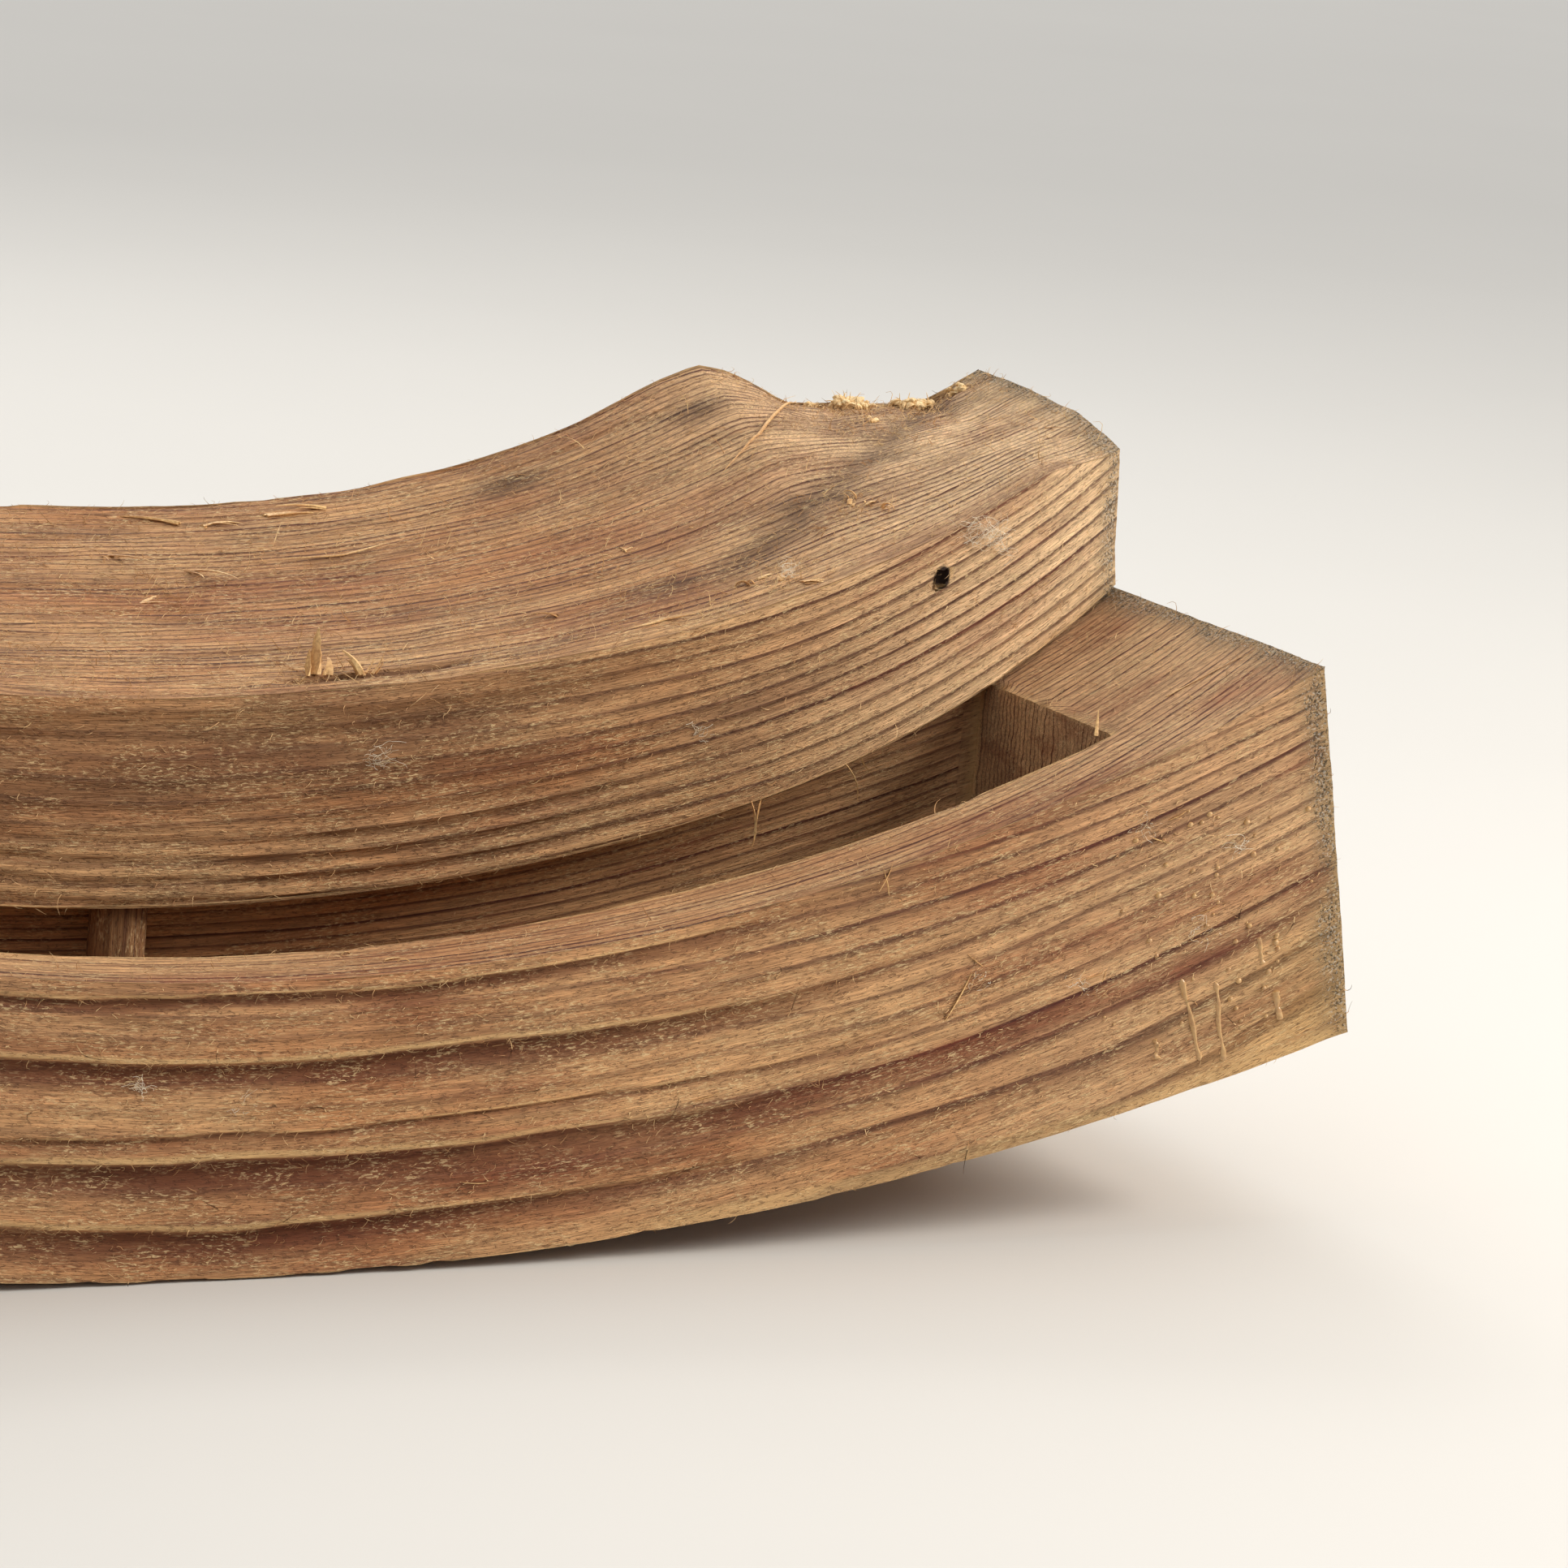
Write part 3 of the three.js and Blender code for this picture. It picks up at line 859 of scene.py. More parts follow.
def softwoodMaterial(name, look):
    material, tree, shader = newMaterial(name)
    grain = attributeOf(tree, "grain", "Vector")
    endGrain = attributeOf(tree, "endGrain")
    fromEnd = attributeOf(tree, "fromEnd")
    place = objectPlace(tree)
    inputs = {"Ring": attributeOf(tree, "ring"), "Grain": grain, "Waver": look["waver"]}
    rings = placeGroup(tree, ringEffect, inputs)
    inputs = {"Grain": grain, "Length": look["fibreLength"], "Width": look["fibreWidth"]}
    fibres = placeGroup(tree, fibreEffect, inputs)

    # bare wood, its latewood lines and the broad patches of colour
    upward = addNode(tree, "ShaderNodeSeparateXYZ", {0: grain}).outputs[2]
    lowDown = times(tree, fadeOf(tree, upward, -0.02, 0.05), look["resinZone"])
    redPatch = rangeOf(tree, noiseOf(tree, grain, (14, 40, 110)), 0.52, 0.66)
    weather = rangeOf(tree, noiseOf(tree, grain, (11, 70, 60), 4.0, 0.65, 0.3), 0.48, 0.66)
    lines = times(tree, rings["Late"], attributeOf(tree, "crisp"))
    wood = layered(tree, look["early"], [
        (rangeOf(tree, fibres["Patch"], 0.35, 0.68), look["earlyWarm"]),
        (times(tree, rings["Tone"], 0.35), look["earlyDeep"]),
        # paler towards both sawn ends: partly weathered wood, partly painted light
        (times(tree, fadeOf(tree, fromEnd, *look["paleReach"]), look["paleEndWearAndLight"]), look["pale"]),
        (times(tree, lines, look["lateStrength"]), look["late"]),
        (times(tree, fadeOf(tree, fromEnd, 0.0, look["resinReach"]), lowDown), look["resinTint"]),
        (times(tree, redPatch, look["redZone"]), look["red"]),
        (times(tree, weather, look["weathered"]), look["grey"]),
        # stains, and on the seat painted shade along the rope trough
        (times(tree, attributeOf(tree, "stain"), look["stainTint"]), look["stain"]),
    ])
    wood = shaded(tree, wood, fibres["Streak"], 0.3, 0.72, 0.76, 1.14)
    wood = shaded(tree, wood, fibres["Fine"], 0.3, 0.7, 0.74, 1.2)

    # painted shade in furrows and hollows, worn edges with painted highlight on ridges, open pores, and fine
    # glints and pits
    deep = times(tree, attributeOf(tree, "furrow"), look["furrowShadeTint"], clamp=True)
    paleEdgeAndHighlight = times(tree, rangeOf(tree, attributeOf(tree, "edge"), 0.35, 1.0), look["edgeWearAndHighlightTint"], clamp=True)
    pores = rangeOf(tree, noiseOf(tree, grain, (300, 2400, 2400)), 0.35, 0.6, 0.5, 0.1)
    wood = layered(tree, wood, [
        (deep, look["furrow"]),
        (times(tree, paleEdgeAndHighlight, calc(tree, "SUBTRACT", 1.0, deep)), look["edge"]),
        (times(tree, endGrain, pores), look["endGrain"]),
        (times(tree, fibres["Glint"], look["glintTint"]), look["glint"]),
        (times(tree, fibres["Pit"], look["pitTint"]), look["pit"]),
    ])
    if "hole" in look:
        # painted shade in and around the small hole
        inputs = {0: place, 1: look["hole"]}
        away = addNode(tree, "ShaderNodeVectorMath", inputs, operation="DISTANCE").outputs["Value"]
        wood = mixColour(tree, fadeOf(tree, away, *look["holeShadeReach"]), wood, look["holeShadeTint"])

    # the weathered margin along both sawn ends, and specks everywhere
    ragged = timesPlus(tree, noiseOf(tree, place, 90.0), 0.012, fromEnd)
    margin = times(tree, fadeOf(tree, ragged, *look["marginReach"]), timesPlus(tree, endGrain, -0.75, 1.0))
    inputs = {"Position": place, "Amount": margin, "Scale": look["speckScale"]}
    specks = placeGroup(tree, speckleEffect, inputs)
    wood = layered(tree, wood, [
        (times(tree, margin, 0.5), look["marginTint"]),
        (times(tree, specks["Dark"], timesPlus(tree, margin, 0.75, 0.12), clamp=True), look["speck"]),
        (times(tree, specks["Pale"], timesPlus(tree, margin, 0.5, 0.1), clamp=True), look["lint"]),
    ])
    tree.links.new(wood, shader.inputs["Base Color"])

    rough = timesPlus(tree, rings["Late"], -0.14, 0.86)
    rough = timesPlus(tree, calc(tree, "SUBTRACT", fibres["Fine"], 0.5), 0.16, rough, clamp=True)
    tree.links.new(rough, shader.inputs["Roughness"])
    shader.inputs["Specular IOR Level"].default_value = 0.3
    height = timesPlus(tree, rings["Late"], 0.35, times(tree, fibres["Streak"], 1.3))
    reliefs = [(fibres["Fine"], 0.9), (fibres["Glint"], 0.35), (fibres["Pit"], -0.5), (specks["Dark"], -0.2)]
    for value, share in reliefs:
        height = timesPlus(tree, value, share, height)
    tree.links.new(bumpOf(tree, height, 0.75, look["bump"] * mm), shader.inputs["Normal"])
    return material


beamLook = {
    # colours, and beside most of them how strongly they are laid on; the furrow colour is painted shade, the
    # edge colour carries painted highlight on ridges, and the pale ends are partly painted light
    "early": rgb(218, 170, 120), "earlyWarm": rgb(192, 136, 90), "earlyDeep": rgb(158, 102, 68),
    "late": rgb(90, 44, 31), "lateStrength": 1.0, "pale": rgb(234, 192, 146), "paleEndWearAndLight": 0.55,
    "furrow": rgb(92, 42, 26), "furrowShadeTint": 0.8, "edge": rgb(222, 182, 126), "edgeWearAndHighlightTint": 0.7,
    "grey": rgb(134, 98, 70), "weathered": 0.28, "stain": rgb(112, 46, 32), "stainTint": 0.75,
    "glint": rgb(238, 208, 156), "glintTint": 0.6, "pit": rgb(86, 54, 36), "pitTint": 0.5,
    "resinTint": rgb(204, 162, 92), "resinZone": 0.5, "red": rgb(142, 74, 46), "redZone": 0.4,
    "endGrain": rgb(120, 86, 58), "speck": rgb(64, 56, 44), "lint": rgb(206, 196, 180),
    "marginTint": rgb(138, 118, 86),
    # metres from the sawn end
    "paleReach": (0.01, 0.16), "resinReach": 0.085, "marginReach": (0.007, 0.019),
    "waver": 0.16, "fibreLength": 110.0, "fibreWidth": 2600.0, "speckScale": 1300.0, "bump": 0.7,
}
seatLook = dict(
    # on the seat too: the furrow colour is painted shade, and the pale ends are partly painted light
    beamLook, earlyDeep=rgb(156, 106, 70), late=rgb(92, 50, 36), pale=rgb(244, 208, 164), paleEndWearAndLight=0.85,
    furrow=rgb(92, 56, 36), furrowShadeTint=0.65, resinZone=0.0, redZone=0.28, weathered=0.5,
    stain=rgb(66, 42, 30), stainTint=0.7,
    # where the small hole is and how far the painted shade around it reaches, in metres
    hole=(0.2227, -0.010, 0.1563), holeShadeReach=(0.0026, 0.0034), holeShadeTint=rgb(44, 26, 18),
)


sharpAngle = 50  # degrees between two faces that still shade as one


def finishPiece(piece, material, slot, *nodes):
    piece.data.materials.clear()
    piece.data.materials.append(material)
    piece.data.polygons.foreach_set("use_smooth", [True] * len(piece.data.polygons))
    piece.data.set_sharp_from_angle(angle=math.radians(sharpAngle))
    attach(piece, "root")
    if nodes:
        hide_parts(*nodes)
    return piece


print("main beam")
beamMesh = cutAway(mainBeamMesh(), boreMeshes(inMain=True))
shapeMainBeam(beamMesh)
beam = addObject("beamTimber", beamMesh)
finishPiece(beam, softwoodMaterial("beamSoftwood", beamLook), "beam_softwood", "main_beam")

print("seat beam")
holeX, holeY, holeZ, holeRadius = seatGrain["chipHole"]
chipHole = rodMesh("chipHole", holeRadius, holeX, holeY, holeZ - 2.2, holeZ + 1.8, 10)
seatMesh = cutAway(seatBeamMesh(), [*boreMeshes(inMain=False), chipHole])
shapeSeatBeam(seatMesh)
seat = addObject("seatTimber", seatMesh)
finishPiece(seat, softwoodMaterial("seatSoftwood", seatLook), "seat_softwood", "seat_beam")


# pegs, treenails and wedges

def shavedRadius(seed, facets, wear):
    def shape(angles, z):
        step = 2 * math.pi / facets
        turned = angles + 0.15 * math.sin(z / 31 + seed)
        facet = math.cos(step / 2) / np.cos(turned % step - step / 2)
        rough = softNoise(np.cos(angles) * 4, np.sin(angles) * 4, z / 14, seed)
        grooves = np.maximum(0, softNoise(np.cos(angles) * 9, np.sin(angles) * 9, z / 40, seed + 1))
        return lerp(1, facet, wear) * (0.985 + 0.012 * rough - 0.03 * grooves)
    return shape


def storePegGrain(mesh, x, y, pitch, seed):
    points = coordinates(mesh)
    normals = vertexNormals(mesh)
    away = np.hypot(points[:, 0] - x - 14, points[:, 1] - y - 9)
    wavy = 0.4 * softNoise(points[:, 0] / 8, points[:, 1] / 8, points[:, 2] / 50, seed)
    storeFields(
        mesh,
        ring=away / pitch + wavy,
        # furrow: painted shade on the sides, none on the ends
        furrow=0.3 * (1 - np.abs(normals[:, 2])),
        edge=edgeCloseness(mesh, 1),
        endGrain=smooth(0.6, 0.9, np.abs(normals[:, 2])),
        crisp=np.ones(len(points)),
        fromEnd=np.full(len(points), 0.2),
        grain=points[:, [2, 0, 1]] * mm,
    )


def centrePegMesh():
    low = float(slotFloorZ(0)) - pegs["socket"]
    high = float(bedZ(0)) + pegs["socket"]
    radius = pegs["centreDiameter"] / 2
    mesh = rodMesh("centrePegWood", radius, 0, pegs["centreY"], low, high, 72, 60, shavedRadius(5, 9, 0.7))
    storePegGrain(mesh, 0, pegs["centreY"], 1.9, 61)
    return mesh


def wedgeMesh(x, gap, halfY, rows=14):
    # thin along the beam, wide across it; the butt is flush with the belly
    low = -8.0 if gap else float(bellyZ(x)) + pegs["bellyInset"]
    tip = float(bellyZ(x)) + pegs["wedgeLength"] + gap
    z = lerp(low, tip, np.linspace(0, 1, rows))
    spread = (pegs["wedgeButt"] - pegs["wedgeTip"]) / pegs["wedgeLength"]
    half = (pegs["wedgeTip"] + spread * (tip - z)) / 2 + gap
    y = np.linspace(-halfY, halfY, 9)
    patches = []
    for side in (-1, 1):
        wobble = 0 if gap else 0.12 * (1 + softNoise(y[None, :] / 2, z[:, None] / 5, side, 71))
        across = x + side * (half[:, None] - wobble)
        patches.append(grid(across, pegs["treenailY"] + y[None, :], z[:, None]))
    for column in (0, -1):
        patches.append(np.stack([patches[0][:, column], patches[1][:, column]], 0))
    for row in (0, -1):
        patches.append(np.stack([patches[0][row], patches[1][row]], 0))
    return meshFrom("wedgeWood", *weldPatches(patches))


def treenailMesh(x, seed):
    top = float(bedZ(x)) + pegs["reach"]
    radius = pegs["treenailDiameter"] / 2
    mesh = rodMesh("treenailWood", radius, x, pegs["treenailY"], 0, 100, 64, 50, shavedRadius(seed, 12, 0.55))
    points = coordinates(mesh)
    low = bellyZ(points[:, 0]) + pegs["bellyInset"]
    points[:, 2] = lerp(low, top, points[:, 2] / 100)
    moveVertices(mesh, points)
    mesh = cutAway(mesh, [wedgeMesh(x, pegs["gap"], radius + 2)])
    storePegGrain(mesh, x, pegs["treenailY"], 1.5, seed)
    return mesh


# loose fibres, slivers and resin

def joinTubes(name, tubes):
    # each tube: path points, radius at each point, flattening, number of sides
    points = []
    faces = []
    for path, radii, flatten, sides in tubes:
        path = np.asarray(path, float)
        along = np.gradient(path, axis=0)
        along /= np.linalg.norm(along, axis=1)[:, None]
        side = np.cross(along, [0.13, 0.21, 0.97])
        side /= np.linalg.norm(side, axis=1)[:, None]
        rise = np.cross(side, along)
        angles = np.linspace(0, 2 * math.pi, sides, endpoint=False)
        start = len(points)
        for i, centre in enumerate(path):
            for angle in angles:
                offset = side[i] * math.cos(angle) + rise[i] * math.sin(angle) * flatten
                points.append(centre + offset * radii[i])
        for row in range(len(path) - 1):
            for i in range(sides):
                j = (i + 1) % sides
                a, b = start + row * sides, start + (row + 1) * sides
                faces.append((a + i, a + j, b + j, b + i))
        faces.append(tuple(start + i for i in range(sides))[::-1])
        faces.append(tuple(start + (len(path) - 1) * sides + i for i in range(sides)))
    return meshFrom(name, np.array(points), faces)


def sliverPath(start, heading, length, lift, curl, rng, steps=9):
    # heading and lift in degrees; curl is how much the lift changes over the whole length
    point = np.array(start, float)
    path = [point.copy()]
    turn = rng.uniform(-30, 30)
    for i in range(steps):
        part = i / steps
        up = math.radians(lift + curl * part)
        flat = math.radians(heading + turn * part)
        step = np.array([math.cos(up) * math.cos(flat), math.cos(up) * math.sin(flat), math.sin(up)])
        point = point + step * length / steps
        path.append(point.copy())
    return np.array(path)


def sliverTube(start, heading, length, lift, curl, width, rng, flatten=0.45, sides=5):
    path = sliverPath(start, heading, length, lift, curl, rng)
    t = np.linspace(0, 1, len(path))
    radii = width / 2 * (1 - 0.85 * t ** 1.5) * (0.85 + 0.3 * rng.random(len(path)))
    return path, radii, flatten, sides


def onSeat(x, y, sink=0.9):
    return (x, y, float(seatZ(np.array(x), np.array(y))) - sink)


slivers = {
    "seed": 7,
    "strandsEach": 3,
    # on the seat: x, y, heading, length, lift, curl, width
    "onSeat": [
        (48, -9, 80, 9.5, 78, 25, 2.4), (51, -10, 60, 6.0, 60, -70, 1.4), (59, -12, 130, 6.5, 66, -50, 2.8),
        (62, -12, 20, 5.0, 40, 30, 1.0), (20, 40, 40, 14, 8, -14, 0.9), (40, 57, -50, 13, 12, -22, 0.8),
        (20, 66, -40, 12, 10, -20, 0.7), (46, 82, 160, 15, 9, -16, 1.6), (52, 80, 15, 11, 14, -30, 1.1),
        (71, 83, 5, 17, 7, -12, 1.7), (88, 84, 178, 12, 8, -14, 1.2), (-30, 60, 20, 12, 10, -20, 0.9),
        (-64, 20, 170, 14, 12, -24, 1.0), (-110, 50, -30, 10, 16, -30, 0.9), (208, 17, 60, 5, 55, -190, 0.9),
        (212, 15, 10, 6, 40, -200, 0.8), (215, 12, -60, 5, 60, -160, 0.7), (211, 19, 120, 4, 70, -120, 0.8),
        (172, -4, 10, 9, 25, -70, 0.9), (176, -8, 40, 8, 30, -120, 1.1), (181, -12, -10, 12, 12, -30, 1.0),
        (169, -6, 150, 5, 50, -170, 0.8), (150, 30, 15, 8, 22, -60, 0.7), (120, 5, 170, 7, 25, -70, 0.7),
    ],
    # hanging from the seat's lower front edge: x, length, heading, lift, curl, width
    "hanging": [(168, 13, -60, -62, -50, 1.0), (171, 8, 200, -75, -20, 0.7), (196, 11, -30, -40, -60, 0.8),
                (201, 7, 20, -60, 30, 0.6), (-140, 10, 200, -60, -40, 0.8)],
    # lying on the main front face: x, height, angle in the face, length, width
    "onFace": [(259, 84, 15, 9, 0.5), (264, 79, -160, 8, 0.4), (228, 68, 12, 8, 0.5), (234, 66, 70, 5, 0.4),
               (168, 92, 65, 8, 0.6), (171, 91, 110, 7, 0.5), (190, 58, 62, 15, 0.9), (200, 72, 150, 6, 0.6),
               (249, 109, 20, 6, 0.9), (244, 105, -20, 7, 0.8), (120, 40, 10, 9, 0.5), (60, 22, -8, 8, 0.5),
               (-80, 50, 12, 10, 0.6), (-210, 70, -160, 12, 0.8)],
    # on the lip and ledges of the main beam: x, y, heading, length, lift, curl, width
    "onBed": [(33, -71, 15, 5, 50, -190, 0.8), (41, -79, 0, 8, 16, -50, 0.9),
              (46, -82, 170, 5, 40, -160, 0.7), (264, -60, 0, 29, 27, 2, 0.8),
              (243, -62, 60, 7, 55, 20, 1.2), (-120, -76, 20, 6, 40, -140, 0.8)],
    # torn clumps in the rope notches: x, y, height, thick strands, thin curled strands
    "tufts": [(242, 87.5, 5.0, 28, 30), (247, 88, 2.6, 8, 14), (261, 88.5, 4.0, 8, 16),
              (265.5, 87, 3.0, 22, 14), (275, 86, 2.4, 7, 12), (240, 70, 1.4, 4, 12), (233, 88, 1.2, 3, 12)],
    # long thin splinters lying on the seat: points of x and y, and the width
    "lying": [([(227, 88), (214, 72), (200, 56), (185, 46)], 1.1), ([(96, 60), (82, 58), (66, 59)], 1.0),
              ([(-60, 40), (-75, 37), (-96, 38)], 1.0), ([(150, -14), (142, -12), (133, -13)], 1.2)],
}


def sliverMesh():
    rng = np.random.default_rng(slivers["seed"])
    tubes = []
    for x, y, heading, length, lift, curl, width in slivers["onSeat"]:
        for extra in range(slivers["strandsEach"]):
            spread = rng.normal(0, 0.9, 2) if extra else (0, 0)
            start = onSeat(x + spread[0], y + spread[1])
            scale = 1.25 if extra == 0 else rng.uniform(0.4, 0.9)
            turn = heading + (rng.normal(0, 35) if extra else 0)
            tubes.append(sliverTube(start, turn, length * scale, lift, curl, 1.3 * width * scale, rng))
    for x, length, heading, lift, curl, width in slivers["hanging"]:
        start = (x, float(seatFaceY(np.array(x))) + 1.2, float(bedZ(x)) + 1.2)
        tubes.append(sliverTube(start, heading, length, lift, curl, width, rng))
    for x, z, angle, length, width in slivers["onFace"]:
        way = np.array([math.cos(math.radians(angle)), 0, math.sin(math.radians(angle))])
        t = np.linspace(0, 1, 8)[:, None]
        bow = np.stack([0 * t[:, 0], -0.5 * np.sin(math.pi * t[:, 0]), 0.6 * t[:, 0] ** 2], -1)
        path = np.array([x, -halfDepth + 0.95, z]) + way * length * t + bow
        tubes.append((path, width / 2 * np.sin(math.pi * (0.08 + 0.86 * t[:, 0])), 0.5, 5))
    for x, y, heading, length, lift, curl, width in slivers["onBed"]:
        tubes.append(sliverTube((x, y, float(bedZ(x)) - 0.6), heading, length, lift, curl, width, rng))
    for stops, width in slivers["lying"]:
        stops = np.array(stops, float)
        t = np.linspace(0, len(stops) - 1, 26)
        x = np.interp(t, range(len(stops)), stops[:, 0])
        y = np.interp(t, range(len(stops)), stops[:, 1])
        path = np.stack([x, y, seatZ(x, y) - 0.35 + 0.5 * np.abs(softNoise(t, width, 0, 83))], -1)
        taper = np.sin(math.pi * np.linspace(0.06, 0.94, len(t)))
        tubes.append((path, width / 2 * taper, 0.6, 5))
    return joinTubes("sliverWood", tubes)


def tuftMesh():
    rng = np.random.default_rng(slivers["seed"] + 1)
    tubes = []
    for x, y, height, thick, thin in slivers["tufts"]:
        for mirror in (1, -1):
            for i in range(thick + thin):
                stout = i < thick
                px = x + rng.normal(0, 1.1 if stout else 1.9)
                py = min(y + rng.normal(0, 1.2 if stout else 2.0), 90.2)
                start = onSeat(mirror * px, py, 1.6)
                heading = rng.choice([0, 180]) + rng.normal(0, 50)
                length = height * (rng.uniform(0.8, 1.25) if stout else rng.uniform(0.6, 1.25))
                lift = rng.uniform(35, 85)
                curl = rng.uniform(-170, -60) if stout else rng.uniform(-240, 20)
                width = rng.uniform(1.5, 2.8) if stout else rng.uniform(0.25, 0.5)
                path = sliverPath(start, heading, length, lift, curl, rng, 7)
                t = np.linspace(0, 1, len(path))
                radii = width / 2 * np.sqrt(1 - 0.96 * t ** 3) * (0.75 + 0.5 * rng.random(len(path)))
                tubes.append((path, radii, 0.75, 7 if stout else 4))
    return joinTubes("tuftWood", tubes)


resin = {
    # runs down the front face: x and height at the top and at the bottom, width
    "runs": [(257.8, 68, 266.0, 45.4, 2.6), (268.3, 66.7, 272.8, 45.2, 3.0),
             (279.5, 78.2, 281.4, 70.7, 2.6), (286.2, 64.0, 288.2, 56.0, 3.6),
             (252.0, 52.0, 252.9, 46.4, 2.8), (-262.0, 74.0, -264.5, 58.0, 2.6)],
    "seed": 5,
    # small drops: how many, and the x and heights they are strewn over
    "drops": 60, "dropsX": (236, 294), "dropsZ": (56, 112),
}


def resinMesh():
    rng = np.random.default_rng(resin["seed"])
    tubes = []
    for x0, z0, x1, z1, width in resin["runs"]:
        t = np.linspace(0, 1, 34)
        wander = 0.5 * softNoise(t * 3.5, x0, 0, 81)
        path = np.stack([lerp(x0, x1, t) + wander, np.full_like(t, -halfDepth + 1.3), lerp(z0, z1, t)], -1)
        bead = np.exp(-((t - 0.93) / 0.07) ** 2) + 0.5 * np.exp(-((t - 0.06) / 0.06) ** 2)
        radii = width / 2 * (0.75 + 0.2 * softNoise(t * 7, x0, 1, 82) + 0.55 * bead)
        radii = radii * np.sqrt(np.clip(t * 14, 0.05, 1))
        radii *= np.sqrt(np.clip((1 - t) * 16, 0.05, 1))
        tubes.append((path, np.minimum(radii, 1.6), 0.6, 12))
    for _ in range(resin["drops"]):
        x, z = rng.uniform(*resin["dropsX"]), rng.uniform(*resin["dropsZ"])
        size = rng.uniform(0.3, 0.9)
        t = np.linspace(-1, 1, 7)
        path = np.stack([x + t * size, np.full_like(t, -halfDepth + 0.8), z + 0.3 * t * size], -1)
        tubes.append((path, size * np.sqrt(np.clip(1 - t * t, 0.04, 1)), 0.9, 7))
    return joinTubes("resinDrips", tubes)


lint = {
    "seed": 9,
    # centre, size, strands
    "tangles": [((233, -9.2, 168), 7.0, 26), ((241, -6.3, 166), 5.5, 14), ((262, -91, 81), 5.5, 20),
                ((229, -91, 67), 4.0, 22), ((243, -91, 107), 5.0, 24), ((150, -20.5, 118), 4.0, 14),
                ((62, -20.5, 112), 4.5, 14), ((-24, -91, 48), 4.0, 10), ((2, -91, 44), 5.0, 12),
                ((300, -40, 102), 4.0, 8), ((-180, -91, 60), 4.0, 10), ((199, -91, 69), 4.0, 14),
                ((271, -91, 103), 5.0, 18), ((178, -9, 158), 4.0, 12)],
}


def lintMesh():
    rng = np.random.default_rng(lint["seed"])
    tubes = []
    for centre, size, strands in lint["tangles"]:
        for _ in range(strands):
            turns = rng.normal(0, 1, (26, 3))
            turns = (turns[:-6] + turns[1:-5] + turns[2:-4] + turns[3:-3] + turns[4:-2] + turns[5:-1]) / 6
            path = np.cumsum(turns, 0) * size * 0.2
            path = path - path.mean(0) + rng.normal(0, size / 3, 3)
            path = path * [1, 0.2, 0.8]
            tubes.append((np.array(centre) + path, np.full(len(path), rng.uniform(0.04, 0.065)), 1.0, 3))
    return joinTubes("lintHair", tubes)


# the bent shapes that the loose fibres are picked from: start, middle and end, for a fibre one metre long
fibreBends = [
    ((0, 0, 0), (0.5, 0.1, 0.3), (1.0, 0.25, 0.12)), ((0, 0, 0), (0.4, -0.1, 0.25), (0.65, 0.3, 0.6)),
    ((0, 0, 0), (0.75, 0.0, 0.55), (0.2, 0.35, 0.55)), ((0, 0, 0), (0.45, 0.05, 0.06), (0.95, -0.12, 0.1)),
]
fuzzInputs = {
    "Geometry": ("Geometry", None), "Density": ("Float", 50000.0), "Length": ("Float", 0.003),
    "Thickness": ("Float", 0.03), "Spread": ("Float", 0.6), "Lift": ("Float", 0.3),
    "Sweep Radius": ("Float", 0.65), "Seed": ("Int", 1), "Segments": ("Int", 4),
    "Material": ("Material", None),
}


